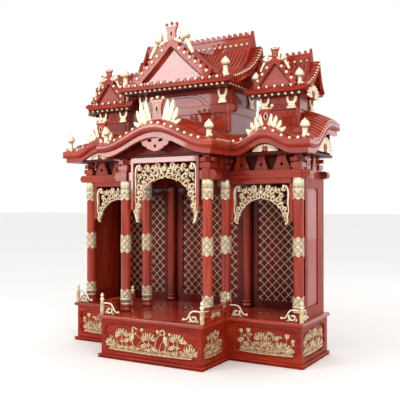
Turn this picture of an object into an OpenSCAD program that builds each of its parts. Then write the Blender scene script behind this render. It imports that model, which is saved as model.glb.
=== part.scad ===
// Wealth god altar: a household shrine in red lacquered wood with gilded trim.
// T-shaped plinth, nine-column open storey with three niches, undulating
// lower roof, and three gabled towers.  Millimetres, +Z up, front faces -Y.
// Local y is measured from the front line of the side bays, then shifted so
// that the whole altar is centred on the origin.

/* [Plinth] */
// Width of the plinth over its mouldings
plinthWidth = 810; // [720:950]
// Width of the projecting centre bay of the plinth
centreWidth = 358; // [320:400]
// How far the centre bay stands in front of the side bays
centreProjection = 156; // [80:220]
// Depth of the side bays, front line to back
bodyDepth = 225; // [215:300]
// Height of the polished deck above the table
deckTop = 126; // [90:180]
// Thickness of the plinth boards
boardThick = 14; // [8:20]
// Height of the moulding under the plinth
baseMoulding = 11; // [8:16]
// Thickness of the deck board with its nosing
deckThick = 12; // [8:18]

/* [Columns] */
// Diameter of the round columns
columnDia = 29.6; // [20:40]
// How far the outer columns stand inside the end of the plinth
columnInset = 32; // [28:50]
// How far the inner columns stand inside the side of the centre bay
innerInset = 35.5; // [30:50]
// Depth of the front columns of the side bays behind the front line
sideColumnY = 49; // [30:80]
// Depth of the centre front columns (negative is in front of the line)
frontColumnY = -64; // [-110:-40]
// Depth of the back columns
backColumnY = 196; // [150:210]

/* [Main storey] */
// Underside of the head beams
beamBottom = 512; // [470:560]
// Height of the two head beams together
beamDepth = 39; // [36:50]
// Height of the open frieze between beams and eaves
friezeHeight = 41; // [38:50]
// Height of the upper head beam
upperBeam = 23.5; // [18:30]

/* [Lower roof] */
// How far the side eaves reach beyond the outer columns
eavesOverhang = 59; // [50:70]
// How far the centre roof reaches beyond the sides of its bay
centreOverhang = 16; // [12:22]
// Front edge of the side roofs
roofSideFront = -22; // [-60:0]
// Front edge of the centre roof
roofCentreFront = -137; // [-160:-100]
// Rise of the roof from its edge to the flat behind
roofRise = 34; // [20:50]
// Distance over which the roof rises
roofRun = 110; // [80:150]
// Thickness of the roof shell
roofThick = 10; // [6:16]
// Rise of the great centre arch
centreArch = 53; // [30:80]
// Rise of the small arches over the side bays
sideArch = 31; // [20:50]
// Rise of the roof toward the back of the two flanks
flankArch = 66; // [40:80]

/* [Towers] */
// Half width of the centre tower walls
centreTowerHalf = 158; // [150:165]
// Half width of the side tower walls
sideTowerHalf = 57; // [50:60]
// Height of the centre tower walls above the lower eaves
centreTowerHeight = 206; // [195:240]
// Height of the side tower walls above the lower eaves
sideTowerHeight = 174; // [165:200]

/* [Hidden] */
redLacquer = "#A83A28";
deepLacquer = "#6E1410";
goldLeaf = "#EBDCB0";
$fn = 32;
yShift = -(bodyDepth - centreProjection)/2 - 3.5;
backY = bodyDepth + 7;
outerX = plinthWidth/2 - columnInset;
innerX = centreWidth/2 - innerInset;
beamTop = beamBottom + beamDepth;
eavesZ = beamTop + friezeHeight;
roofHalfWidth = outerX + eavesOverhang;
roofCentreHalf = centreWidth/2 + centreOverhang;
sideTowerX = (roofCentreHalf + roofHalfWidth)/2 - 13.5;
centreTowerTop = eavesZ + centreTowerHeight;
sideTowerTop = eavesZ + sideTowerHeight;
colR = columnDia/2;
beamMid = beamTop - upperBeam;
headBottom = beamMid - 4.5;
lowerBeamEnd = colR + 3.2;
postX = plinthWidth/2 - 8;
railX = centreWidth/2 - 8;
fieldZ = (baseMoulding + deckTop - deckThick)/2 - 0.5;
latticeFoot = deckTop + 23;
latticeTop = beamBottom - 27;
archX = (roofCentreHalf + roofHalfWidth)/2 - 19.5;
archHalf = (roofHalfWidth - roofCentreHalf)*0.37;
roofEdge = eavesZ + 37;
mouldZ = eavesZ + 15;
cEave = centreTowerHalf + 40;
sEave = sideTowerHalf + 36;
curveN = 48;
footSleeve = deckTop + 22.5;
middleSleeve = (deckTop + beamBottom)/2 - 15;
topSleeve = beamMid - 63;
wallRail = beamMid - 29.5;

// ------------------------------------------------------------ helpers
module slab(x0, x1, y0, y1, z0, z1) translate([x0, y0, z0]) cube([x1 - x0, y1 - y0, z1 - z0]);
module pair() { children(); mirror([1, 0, 0]) children(); }
module place(finish = redLacquer) color(finish) translate([0, yShift, 0]) children();
// flat figure in the x-z plane, given thickness from y0 to y1
module upright(y0, y1) translate([0, y1, 0]) rotate([90, 0, 0]) linear_extrude(height = y1 - y0) children();
// flat figure drawn in the y-z plane, given thickness from x0 to x1
module sideways(x0, x1) translate([x0, 0, 0]) rotate([90, 0, 90]) linear_extrude(height = x1 - x0) children();
module rod(x, y, z0, z1, r) translate([x, y, z0]) cylinder(h = z1 - z0, r = r);

// T-shaped outline grown or shrunk by g
module teeOutline(g) polygon([
  [-plinthWidth/2 - g, -g], [-centreWidth/2 - g, -g], [-centreWidth/2 - g, -centreProjection - g],
  [centreWidth/2 + g, -centreProjection - g], [centreWidth/2 + g, -g], [plinthWidth/2 + g, -g],
  [plinthWidth/2 + g, bodyDepth], [-plinthWidth/2 - g, bodyDepth]]);

// ------------------------------------------------------------ plinth
module plinth_base_moulding() place() difference() {
  union() {
    linear_extrude(height = baseMoulding - 3) teeOutline(0);
    translate([0, 0, baseMoulding - 3]) linear_extrude(height = 3) teeOutline(-3);
  }
  translate([0, 0, -1]) linear_extrude(height = baseMoulding + 2) offsetTee(-boardThick - 8);
}
module offsetTee(g) polygon([
  [-plinthWidth/2 - g, -g], [-centreWidth/2 - g, -g], [-centreWidth/2 - g, -centreProjection - g],
  [centreWidth/2 + g, -centreProjection - g], [centreWidth/2 + g, -g], [plinthWidth/2 + g, -g],
  [plinthWidth/2 + g, bodyDepth + g], [-plinthWidth/2 - g, bodyDepth + g]]);

// long field whose ends are two round lobes meeting in a cusp, with a small step at each corner
module cartouche(w, h) {
  square([w - h*0.72, h], center = true);
  for (s = [-1, 1], t = [-1, 1]) translate([s*(w/2 - h*0.25), t*h*0.21]) circle(r = h*0.25);
  square([w - h*0.42, h*0.8], center = true);
}
module plinth_boards() place() difference() {
  translate([0, 0, baseMoulding]) linear_extrude(height = deckTop - deckThick - baseMoulding) difference() { teeOutline(-8); offsetTee(-8 - boardThick); }
  // front fields
  upright(-centreProjection + 7, -centreProjection + 13) translate([0, fieldZ]) cartouche(centreWidth - 40, 82);
  for (s = [-1, 1]) upright(7, 13) translate([s*(centreWidth/4 + plinthWidth/4 - 4), fieldZ]) cartouche((plinthWidth - centreWidth)/2 - 30, 82);
  // return fields of the centre bay
  for (s = [-1, 1]) sideways(s*(centreWidth/2 - 8) - 5, s*(centreWidth/2 - 8) + 5)
    translate([-centreProjection/2, fieldZ]) cartouche(centreProjection - 44, 82);
  // flank fields
  for (s = [-1, 1]) sideways(s*(plinthWidth/2 - 8) - 5, s*(plinthWidth/2 - 8) + 5)
    translate([bodyDepth/2, fieldZ]) cartouche(bodyDepth - 45, 82);
}
module deck_board() place() {
  // cove under the edge, rounded nosing, polished top
  translate([0, 0, deckTop - deckThick]) linear_extrude(height = 4) teeOutline(-4);
  translate([0, 0, deckTop - deckThick + 4]) linear_extrude(height = deckThick - 6) teeOutline(0);
  translate([0, 0, deckTop - 2]) linear_extrude(height = 2) teeOutline(-2);
}

// ------------------------------------------------------------ deck rail
module turnedPost(x, y, h) translate([x, y, deckTop]) rotate_extrude($fn = 24)
  polygon([[0, 0], [5, 0], [5, h*0.58], [3.2, h*0.6], [4.4, h*0.64], [5.6, h*0.7], [4.4, h*0.765], [2.6, h*0.8],
    [4.2, h*0.84], [4.6, h*0.88], [3.4, h*0.93], [1.2, h*0.975], [0, h]]);
module deck_rail_posts() place(goldLeaf) pair() {
  turnedPost(postX, 10, 60);
  turnedPost(railX, -centreProjection + 12, 64);
}
// swept scroll arm running away from a post at the origin toward +x
module scrollArm(w) {
  function armY(t) = 33 - 23*(0.5 - 0.5*cos(180*min(1, max(0, (t - 0.15)/0.7))));
  n = 20;
  polygon(concat([for (i = [0:n]) [w*i/n, armY(i/n) + 2]], [for (i = [n:-1:0]) [w*i/n, armY(i/n) - 2]]));
  translate([w, armY(1)]) circle(r = 4);
  difference() {
    translate([w*0.36, 13]) circle(r = 13);
    translate([w*0.42, 17]) circle(r = 6.5);
    translate([w*0.36 - 16, 18]) square([32, 14]);
  }
  translate([0, 10]) square([w*0.2, 5]);
}
module deck_scroll_arms() place(goldLeaf) pair() {
  translate([0, 0, deckTop]) {
    upright(-centreProjection + 9, -centreProjection + 15) translate([railX - 5.2, 0]) mirror([1, 0]) scrollArm(54);
    upright(7, 13) translate([postX - 5.2, 0]) mirror([1, 0]) scrollArm(54);
    upright(7, 13) translate([railX + 5.2, 0]) scrollArm(54);
    sideways(postX - 3, postX + 3) translate([15.2, 0]) scrollArm(40);
  }
}
module deck_return_rails() place() pair() {
  front = -centreProjection + 17.2;
  slab(railX - 3, railX + 3, front, 4.2, deckTop, deckTop + 6);
  slab(railX - 3, railX + 3, front, 4.2, deckTop + 24, deckTop + 29);
  slab(railX - 3, railX + 3, front, 4.2, deckTop + 36, deckTop + 41);
  // square post in the corner, which the rails are let into
  slab(railX - 5, railX + 5, 4, 15, deckTop, deckTop + 46);
  for (c = [front + 36, -32]) slab(railX - 2.5, railX + 2.5, c, c + 5, deckTop + 29, deckTop + 36);
  sideways(railX - 2, railX + 2) translate([0, deckTop]) difference() {
    translate([front + 27, 6]) square([-front - 49, 18]);
    for (i = [0:3]) translate([front + 38 + i*(-front - 71)/3, 15]) circle(r = 6);
  }
}

// ------------------------------------------------------------ columns
module foot(x, y) translate([x, y, deckTop]) rotate_extrude($fn = 32)
  polygon([[0, 0], [16, 0], [18.5, 4], [18.5, 9], [15.5, 13], [15.5, 15], [17, 18], [15.6, 22.5], [0, 22.5]]);
module column(x, y, top) { foot(x, y); rod(x, y, deckTop + 22, top, colR); }
module centre_front_columns() place() pair() column(innerX, frontColumnY, headBottom);
module side_bay_columns() place() pair() { column(outerX, sideColumnY, beamMid); column(innerX, sideColumnY, beamMid); }
module back_columns() place() pair() column(innerX, backColumnY, beamBottom);

module sleeve(x, y, z0, z1, wide) difference() {
  union() { rod(x, y, z0, z1, colR + wide); }
  rod(x, y, z0 - 1, z1 + 1, colR);
}
module eachFrontColumn() pair() {
  translate([innerX, frontColumnY, 0]) children();
  translate([innerX, sideColumnY, 0]) children();
  translate([outerX, sideColumnY, 0]) children();
}
module column_foot_sleeves() place(goldLeaf) eachFrontColumn() {
  sleeve(0, 0, footSleeve, footSleeve + 13.5, 2.4);
  sleeve(0, 0, footSleeve + 13.5, footSleeve + 16.5, 3);
  sleeve(0, 0, footSleeve + 16.5, footSleeve + 46.5, 1.6);
}
module column_middle_sleeves() place(goldLeaf) eachFrontColumn() sleeve(0, 0, middleSleeve, middleSleeve + 57, 1.6);
module column_top_sleeves() place(goldLeaf) pair() {
  for (c = [[innerX, sideColumnY, beamMid], [outerX, sideColumnY, beamMid], [innerX, frontColumnY, headBottom]]) {
    sleeve(c[0], c[1], topSleeve, topSleeve + 34, 1.6);
    sleeve(c[0], c[1], topSleeve + 34, topSleeve + 37, 2.6);
    sleeve(c[0], c[1], topSleeve + 37, c[2] - 3, 2);
    sleeve(c[0], c[1], c[2] - 3, c[2] - 0.3, 2.8);
  }
}

// ------------------------------------------------------------ walls
module side_wall_frames() place() pair() {
  // corner stile behind the outer column, back stile, bottom rail and top rail
  x0 = outerX + 3; x1 = outerX + 17;
  difference() {
    slab(x0, x1, sideColumnY + 10, sideColumnY + 28, deckTop, beamMid);
    rod(outerX, sideColumnY, deckTop - 1, deckTop + 24, 18.6);
    rod(outerX, sideColumnY, deckTop + 23, beamMid + 1, colR + 3.1);
  }
  slab(x0, x1, bodyDepth - 63, bodyDepth - 11, deckTop, beamMid);
  slab(x0, x1, sideColumnY + 28, bodyDepth - 63, deckTop, deckTop + 32);
  slab(x0, x1, sideColumnY + 28, bodyDepth - 63, wallRail, beamMid);
}
module side_wall_panels() place() pair() {
  slab(outerX + 7, outerX + 13, sideColumnY + 28, bodyDepth - 63, deckTop + 32, wallRail);
  // raised field inside a narrow sunk border
  slab(outerX + 13, outerX + 14.5, sideColumnY + 34, bodyDepth - 69, deckTop + 38, wallRail - 6);
}
module back_wall_frame() place(deepLacquer) difference() {
  backWallBoards();
  pair() { rod(innerX, backColumnY, deckTop - 1, deckTop + 23, 18.6); rod(innerX, backColumnY, deckTop, beamBottom + 1, colR + 0.1); }
}
module backWallBoards() {
  // board behind everything, then rails and stiles standing in front of it
  half = outerX + 3;
  slab(-half, half, backY - 22, backY - 10, deckTop, beamBottom);
  slab(-half, half, backY - 29, backY - 22, deckTop, latticeFoot);
  slab(-half, half, backY - 29, backY - 22, latticeTop, beamBottom);
  pair() for (s = [[innerX - 40.5, innerX + 33.5], [outerX - 18, half]]) slab(s[0], s[1], backY - 29, backY - 22, latticeFoot, latticeTop);
}
module lattice_panels() place(deepLacquer) {
  slab(-innerX + 40.5, innerX - 40.5, backY - 25, backY - 22, latticeFoot, latticeTop);
  pair() slab(innerX + 33.5, outerX - 18, backY - 25, backY - 22, latticeFoot, latticeTop);
}

// ------------------------------------------------------------ head beams
// beam end rounded like a bullet, toward +x
module nose(x, y, z0, z1, len) translate([x, y, 0]) {
  slab(0, len, -12, 12, z0, z1);
  translate([len, 12, (z0 + z1)/2]) rotate([90, 0, 0]) cylinder(h = 24, r = (z1 - z0)/2);
}
module head_beams() place() {
  pair() {
    // upper beam across the side bay, lower beam let in between the columns
    slab(innerX - 12, outerX + 14, sideColumnY - 14, sideColumnY + 12, beamMid, beamTop);
    slab(innerX + lowerBeamEnd, outerX - lowerBeamEnd, sideColumnY - 9, sideColumnY + 9, beamBottom, beamMid);
    nose(outerX + 14, sideColumnY, beamMid, beamTop - 0.5, 13);
    // flank beam and its nose over the back corner
    slab(outerX - 1, outerX + 17, sideColumnY + 12, backY - 10, beamMid, beamTop);
    nose(outerX + 17, backY - 34, beamMid, beamTop - 0.5, 10);
    // beams from the centre front columns back to the side bays
    slab(innerX - 11, innerX + 11, frontColumnY - 14, sideColumnY - 18, headBottom, beamTop);
    slab(innerX - 11, innerX + 11, sideColumnY - 18, sideColumnY - 14, beamMid, beamTop);
    nose(innerX + 11, frontColumnY, headBottom, beamTop - 0.5, 10);
  }
  // back beam, with the board that closes the frieze above it
  slab(-outerX + 1, outerX - 1, backY - 34, backY - 10, beamBottom, beamTop);
  slab(-outerX + 25, outerX - 25, backY - 26, backY - 18, beamTop, eavesZ);
}
module bearingBlock(x, y) translate([x, y, 0]) {
  slab(-13, 13, -13, 13, beamTop, beamTop + 5);
  slab(-17, 17, -17, 17, beamTop + 5, beamTop + 19);
  slab(-9, 9, -9, 9, beamTop + 19, eavesZ);
  slab(-24, 24, -6, 6, beamTop + 23, beamTop + 35);
  slab(-6, 6, -24, 24, beamTop + 23, beamTop + 35);
}
module bearing_blocks() place() pair() {
  bearingBlock(innerX, frontColumnY);
  bearingBlock(innerX, sideColumnY);
  bearingBlock(outerX, sideColumnY);
  bearingBlock(outerX, backColumnY - 3);
}
// bell-shaped strut between beam and eaves, standing on z = beamTop, with a lozenge hole
module bellStrut(w, h) difference() {
  polygon(concat([for (i = [0:12]) [-w/2 + w*0.25*(0.5 - 0.5*cos(180*i/12)), h*i/12]],
                 [for (i = [12:-1:0]) [w/2 - w*0.25*(0.5 - 0.5*cos(180*i/12)), h*i/12]]));
  translate([0, h*0.4]) polygon([[-w*0.1, 0], [0, -h*0.17], [w*0.1, 0], [0, h*0.17]]);
}
module frieze_struts() place() pair() {
  for (c = [[-62, 52], [2, 40], [66, 52]]) upright(sideColumnY - 6, sideColumnY + 4) translate([(innerX + outerX)/2 + c[0], beamTop]) bellStrut(c[1], eavesZ - beamTop);
  for (c = [100, 150]) sideways(outerX + 3, outerX + 12) translate([c, beamTop]) bellStrut(36, eavesZ - beamTop);
  for (c = [-23.8, 8.6]) sideways(innerX - 5, innerX + 5) translate([c, beamTop]) bellStrut(32, eavesZ - beamTop);
}

// ------------------------------------------------------------ front opening
module centre_hanging_frame() place() {
  slab(-innerX + 24.5, innerX - 24.5, frontColumnY - 9, frontColumnY + 9, eavesZ - 16, eavesZ);
  pair() slab(innerX - 33.5, innerX - 24.5, frontColumnY - 9, frontColumnY + 7, beamBottom - 76, eavesZ - 16);
  pair() slab(innerX - 24.5, innerX - 11, frontColumnY - 6, frontColumnY + 6, headBottom + 1, beamTop - 1);
}
// arched openwork leaf-work board, legs hanging at both ends
module valanceShape(half, top, crown, shoulder, legBottom, legWide) {
  n = 24;
  polygon(concat([[-half, top], [half, top], [half, legBottom + 8], [half - legWide*0.4, legBottom], [half - legWide*0.8, legBottom + 10]],
    [for (i = [n:-1:-n]) [ (half - legWide)*i/n, shoulder + (crown - shoulder)*(0.5 + 0.5*cos(180*i/n))]],
    [[-half + legWide*0.8, legBottom + 10], [-half + legWide*0.4, legBottom], [-half, legBottom + 8]]));
}
module centre_valance() place(goldLeaf) upright(frontColumnY - 3, frontColumnY + 4) difference() {
  valanceShape(innerX - 33.5, eavesZ - 16, beamMid + 3, beamBottom - 42, beamBottom - 110, 22);
  for (s = [-1, 1]) {
    for (c = [[22, 30, 6], [44, 28, 6], [66, 30, 6], [86, 30, 5.5], [52, 50, 5], [74, 52, 5.5], [94, 54, 5], [82, 76, 5], [98, 80, 4.5], [99, 104, 4.5], [100, 130, 4], [101, 156, 4]])
      translate([s*c[0], eavesZ - c[1]]) circle(r = c[2], $fn = 16);
  }
}
module side_valances() place(goldLeaf) pair() upright(sideColumnY - 3, sideColumnY + 4) translate([(innerX + outerX)/2, 0]) difference() {
  valanceShape((outerX - innerX)/2 - colR - 3.2, beamBottom, beamBottom - 42, beamBottom - 74, beamBottom - 110, 16);
  for (s = [-1, 1]) for (c = [[14, 14, 5], [34, 16, 5.5], [56, 16, 5.5], [78, 14, 5], [24, 31, 4], [46, 36, 4.5], [68, 42, 4.5], [86, 38, 4], [88, 64, 3.5], [90, 88, 3.5]])
    translate([s*c[0], beamBottom - c[1]]) circle(r = c[2], $fn = 16);
}

// ------------------------------------------------------------ lower roof
function bump(t, half) = abs(t) < half ? 0.5 + 0.5*cos(180*t/half) : 0;
function archFront(x) = sideArch*bump(abs(x) - archX, archHalf);
function archCentre(x) = centreArch*bump(x, roofCentreHalf - 12);
function archFlank(y) = flankArch*(0.5 - 0.5*cos(180*min(1, max(0, (y - 24)/136))));
function archAll(x, y) = max(archCentre(x), archFront(x), archFlank(y)*min(1, max(0, (abs(x) - sideTowerX)/66)));
function tee(x, y) = max(0, min(roofCentreHalf - abs(x), y - roofCentreFront), min(roofHalfWidth - abs(x), y - roofSideFront));
function rise(d) = roofRise*(1 - pow(1 - min(1, d/roofRun), 2.2));
function roofTop(x, y) = roofEdge + rise(tee(x, y)) + archAll(x, y);

// closed solid over a grid: top surface z from roofTop, constant thickness
module sheet(xs, ys, tops, thick) {
  nx = len(xs); ny = len(ys); m = nx*ny;
  pts = concat([for (j = [0:ny - 1]) for (i = [0:nx - 1]) [xs[i], ys[j], tops[j][i]]],
               [for (j = [0:ny - 1]) for (i = [0:nx - 1]) [xs[i], ys[j], tops[j][i] - thick]]);
  up = [for (j = [0:ny - 2]) for (i = [0:nx - 2]) for (k = [0, 1]) let (a = j*nx + i)
    k == 0 ? [a, a + nx, a + 1] : [a + 1, a + nx, a + nx + 1]];
  down = [for (j = [0:ny - 2]) for (i = [0:nx - 2]) for (k = [0, 1]) let (a = m + j*nx + i)
    k == 0 ? [a, a + 1, a + nx] : [a + 1, a + nx + 1, a + nx]];
  front = [for (i = [0:nx - 2]) for (k = [0, 1]) k == 0 ? [i, i + 1, m + i] : [i + 1, m + i + 1, m + i]];
  rear = [for (i = [0:nx - 2]) for (k = [0, 1]) let (a = (ny - 1)*nx + i) k == 0 ? [a, m + a, a + 1] : [a + 1, m + a, m + a + 1]];
  left = [for (j = [0:ny - 2]) for (k = [0, 1]) let (a = j*nx) k == 0 ? [a, m + a, a + nx] : [a + nx, m + a, m + a + nx]];
  right = [for (j = [0:ny - 2]) for (k = [0, 1]) let (a = j*nx + nx - 1) k == 0 ? [a, a + nx, m + a] : [a + nx, m + a + nx, m + a]];
  polyhedron(points = pts, faces = concat(up, down, front, rear, left, right), convexity = 8);
}
function span(a, b, n) = [for (i = [0:n]) a + (b - a)*i/n];

// corner finials of the lower roof, each in a flat seat cut into the roof
lowerFinials = [[roofCentreHalf - 18, roofCentreFront + 20], [roofHalfWidth - 18.5, roofSideFront + 14]];
function seatZ(x, y) = roofTop(x + 9, y - 9);
module finialSeats() for (s = [-1, 1], c = lowerFinials) rod(s*c[0], c[1], seatZ(c[0], c[1]), roofEdge + 71, 9.3);

centreXs = span(-roofCentreHalf, roofCentreHalf, 30);
centreYs = concat([for (d = [0, 17, 37, 59, 87, 115, 167, 237, 303]) roofCentreFront + d], [backY]);
module lower_roof_centre() place() difference() {
  sheet(centreXs, centreYs, [for (y = centreYs) [for (x = centreXs) roofTop(x, y)]], roofThick);
  slab(-centreTowerHalf - 10, centreTowerHalf + 10, 28, backY + 18, eavesZ, roofEdge + 131);
  finialSeats();
}
sideXs = concat([roofCentreHalf, roofCentreHalf + 14], span(roofCentreHalf + 27, roofHalfWidth - 66, 14), [for (d = [47, 32, 16, 0]) roofHalfWidth - d]);
sideYs = concat([roofSideFront, -8, 8, 24], span(36, 160, 11), [178, 205, backY]);
module lower_roof_sides() place() pair() difference() {
  sheet(sideXs, sideYs, [for (y = sideYs) [for (x = sideXs) roofTop(x, y)]], roofThick);
  slab(sideTowerX - sideTowerHalf - 9, sideTowerX + sideTowerHalf + 9, 74, 200, eavesZ, roofEdge + 131);
  finialSeats();
}

// line of the fascia or bargeboard along x; k picks centre or side bays
function lineCentre(x, base) = base + archCentre(x);
function lineSide(x, base) = base + archFront(x);
function lineFlank(y, base) = base + archFlank(y);
module bandCentre(z0, z1, y0, y1, half) upright(y0, y1)
  polygon(concat([for (x = span(-half, half, curveN)) [x, lineCentre(x, z0)]],
                 [for (x = span(half, -half, curveN)) [x, lineCentre(x, z1)]]));
module bandSide(z0, z1, y0, y1, xa, xb) upright(y0, y1)
  polygon(concat([for (x = span(xa, xb, curveN)) [x, lineSide(x, z0)]],
                 [for (x = span(xb, xa, curveN)) [x, lineSide(x, z1)]]));
module bandFlank(z0, z1, x0, x1, ya, yb) sideways(x0, x1)
  polygon(concat([for (y = span(ya, yb, curveN)) [y, lineFlank(y, z0)]],
                 [for (y = span(yb, ya, curveN)) [y, lineFlank(y, z1)]]));
module eaves_fascias() place() {
  bandCentre(mouldZ, mouldZ + 11.7, roofCentreFront, roofCentreFront + 12, roofCentreHalf);
  pair() {
    slab(roofCentreHalf - 12, roofCentreHalf, roofCentreFront + 12, roofSideFront, mouldZ, mouldZ + 11.7);
    bandSide(mouldZ, mouldZ + 11.7, roofSideFront, roofSideFront + 12, roofCentreHalf, roofHalfWidth);
    bandFlank(mouldZ, mouldZ + 11.7, roofHalfWidth - 12, roofHalfWidth, roofSideFront + 12, backY);
  }
}
module eaves_bargeboards() place() {
  bandCentre(eavesZ, mouldZ - 0.15, roofCentreFront + 6, roofCentreFront + 18, roofCentreHalf - 6);
  pair() {
    slab(roofCentreHalf - 18, roofCentreHalf - 6, roofCentreFront + 18, roofSideFront + 6, eavesZ, mouldZ);
    bandSide(eavesZ, mouldZ - 0.15, roofSideFront + 6, roofSideFront + 18, roofCentreHalf - 6, roofHalfWidth - 6);
    bandFlank(eavesZ, mouldZ - 0.15, roofHalfWidth - 18, roofHalfWidth - 6, roofSideFront + 18, backY);
  }
}
module soffit_board() place(deepLacquer) translate([0, 0, eavesZ])
  linear_extrude(height = 8) polygon([[-roofHalfWidth + 18, roofSideFront + 18], [-roofCentreHalf + 18, roofSideFront + 18],
    [-roofCentreHalf + 18, -78], [roofCentreHalf - 18, -78], [roofCentreHalf - 18, roofSideFront + 18],
    [roofHalfWidth - 18, roofSideFront + 18], [roofHalfWidth - 18, backY - 8], [-roofHalfWidth + 18, backY - 8]]);
module tympanum_board() place() upright(-78, -68)
  polygon(concat([[-roofCentreHalf + 18, eavesZ + 8], [roofCentreHalf - 18, eavesZ + 8]],
    [for (x = span(roofCentreHalf - 18, -roofCentreHalf + 18, curveN)) [x, roofTop(x, -78) - roofThick - 0.8]]));
pendantEdge = [[11, 15], [18, 19], [27, 21], [30, 27], [37, 28], [44, 33], [46, 39], [52, 42], [55, 50], [48, 58], [36, 61], [24, 60], [12, 63]];
module gable_pendant() place() upright(roofCentreFront + 18, roofCentreFront + 26) translate([0, eavesZ]) difference() {
  polygon(concat([[0, 13]], pendantEdge, [[0, 59]], [for (i = [len(pendantEdge) - 1:-1:0]) [-pendantEdge[i][0], pendantEdge[i][1]]]));
  for (s = [-1, 1], t = [-3, 3]) translate([s*19, 45]) rotate(s*12) translate([t, 0]) circle(r = 4.4, $fn = 20);
  translate([0, 28]) rotate(45) square(8, center = true);
}
// half rosette with rays, flat side down
module halfRosette(r, h) difference() {
  scale([1, h/r]) circle(r = r);
  translate([-r, -h - 1]) square([2*r, h + 1]);
}
module gold_fans() place(goldLeaf) pair() {
  upright(roofSideFront + 18, roofSideFront + 24) translate([archX, eavesZ + 8.2]) halfRosette(40, 22);
  sideways(roofHalfWidth - 24, roofHalfWidth - 18) translate([160, eavesZ + 13]) difference() {
    halfRosette(62, 46);
    halfRosette(14, 24);
  }
  sideways(sideTowerX + sEave, sideTowerX + sEave + 4) translate([106, sTop - 31]) difference() {
    halfRosette(48, 39);
    halfRosette(12, 20);
  }
}

// boards that close the hollow of the lower roof at the back
module rear_closing_boards() place() pair() upright(backY - 16, backY - 8.5)
  polygon(concat([[centreTowerHalf + 0.5, eavesZ + 8], [roofHalfWidth - 24.5, eavesZ + 8]],
    [for (x = concat([roofHalfWidth - 24.5], span(roofHalfWidth - 28, roofCentreHalf + 9, 20), [centreTowerHalf + 10.5])) [x, min(roofTop(x, backY - 27), roofTop(x, backY), roofTop(x + 10, backY - 12)) - roofThick - 2]],
    [[centreTowerHalf + 0.5, roofEdge + 11]]));

// ------------------------------------------------------------ roof crests
// crown with a diamond eye and three balls, on a waisted body
module crownShape(s) scale([s, s]) difference() {
  union() {
    polygon([[-16, -6], [16, -6], [13, 14], [12.5, 30], [15, 40], [21, 48], [21, 53], [-21, 53], [-21, 48], [-15, 40], [-12.5, 30], [-13, 14]]);
    for (c = [[-19, 57.5], [0, 60.5], [19, 57.5]]) translate(c) circle(r = 5, $fn = 20);
    for (c = [-19, 0, 19]) translate([c - 2, 52]) square([4, 6]);
  }
  polygon([[-5, 27], [0, 18], [5, 27], [0, 36]]);
}
// spray of pointed leaves to the right of the crown: tips and the notches between them
module leafSpray(s, pts) for (m = [0, 1]) mirror([m, 0]) scale([s, s]) polygon(concat([[8, -14], [8, 30]], pts, [[14, -14]]));
centreLeaves = [[15, 34], [20, 27], [31, 40], [35, 24], [42, 40], [51, 58], [53, 36], [55, 24], [68, 29], [63, 14], [66, 3], [71, -1], [66, -7], [56, -4], [48, -14]];
sideLeaves = [[15, 30], [20, 24], [28, 38], [33, 22], [46, 24], [47, 10], [62, 2], [56, -8], [44, -14]];
module lower_roof_crests() place() {
  upright(-110, -100) difference() {
    translate([0, roofEdge + 72]) { crownShape(1); leafSpray(1, centreLeaves); }
    polygon(concat([[-90, eavesZ], [90, eavesZ]], [for (x = span(90, -90, 36)) [x, roofTop(x, -100) + 0.4]]));
  }
  pair() upright(0, 8) difference() {
    translate([archX, roofEdge + 44]) { crownShape(0.95); leafSpray(0.95, sideLeaves); }
    polygon(concat([[archX - 75, eavesZ], [archX + 75, eavesZ]], [for (x = span(archX + 75, archX - 75, 36)) [x, roofTop(x, 8) + 0.4]]));
  }
}

// ------------------------------------------------------------ towers
module towerWalls(half, y0, y1, topZ) {
  difference() {
    slab(-half, half, y0, y1, eavesZ + 8, topZ);
    slab(-half + 9, half - 9, y0 + 9, y1 - 9, eavesZ + 7, topZ - 8);
  }
}
module centre_tower_walls() place() {
  towerWalls(centreTowerHalf, 38, backY - 10, centreTowerTop);
  // frieze, beam with rounded noses, corner columns
  beam = centreTowerTop - 71;
  slab(-centreTowerHalf + 2, centreTowerHalf - 2, 31, 38, beam + 24, centreTowerTop);
  slab(-centreTowerHalf + 2, centreTowerHalf - 2, 33, 38, beam, beam + 24);
  pair() {
    rod(centreTowerHalf + 1, 37, beam - 59, beam + 24, 8);
    nose(centreTowerHalf + 2, 46, beam + 1, beam + 24, 8);
    slab(centreTowerHalf, centreTowerHalf + 6, 42, backY - 10, beam + 24, centreTowerTop);
    slab(centreTowerHalf, centreTowerHalf + 4, 42, backY - 10, beam, beam + 24);
  }
}
module side_tower_walls() place() pair() translate([sideTowerX, 0, 0]) {
  towerWalls(sideTowerHalf, 84, 196, sideTowerTop);
  slab(-sideTowerHalf + 2, sideTowerHalf - 2, 79, 84, sideTowerTop - 38, sideTowerTop);
  for (s = [-1, 1]) rod(s*(sideTowerHalf + 1), 84, sideTowerTop - 102, sideTowerTop - 38, 7);
  slab(sideTowerHalf, sideTowerHalf + 4, 92, 196, sideTowerTop - 38, sideTowerTop);
}
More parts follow.
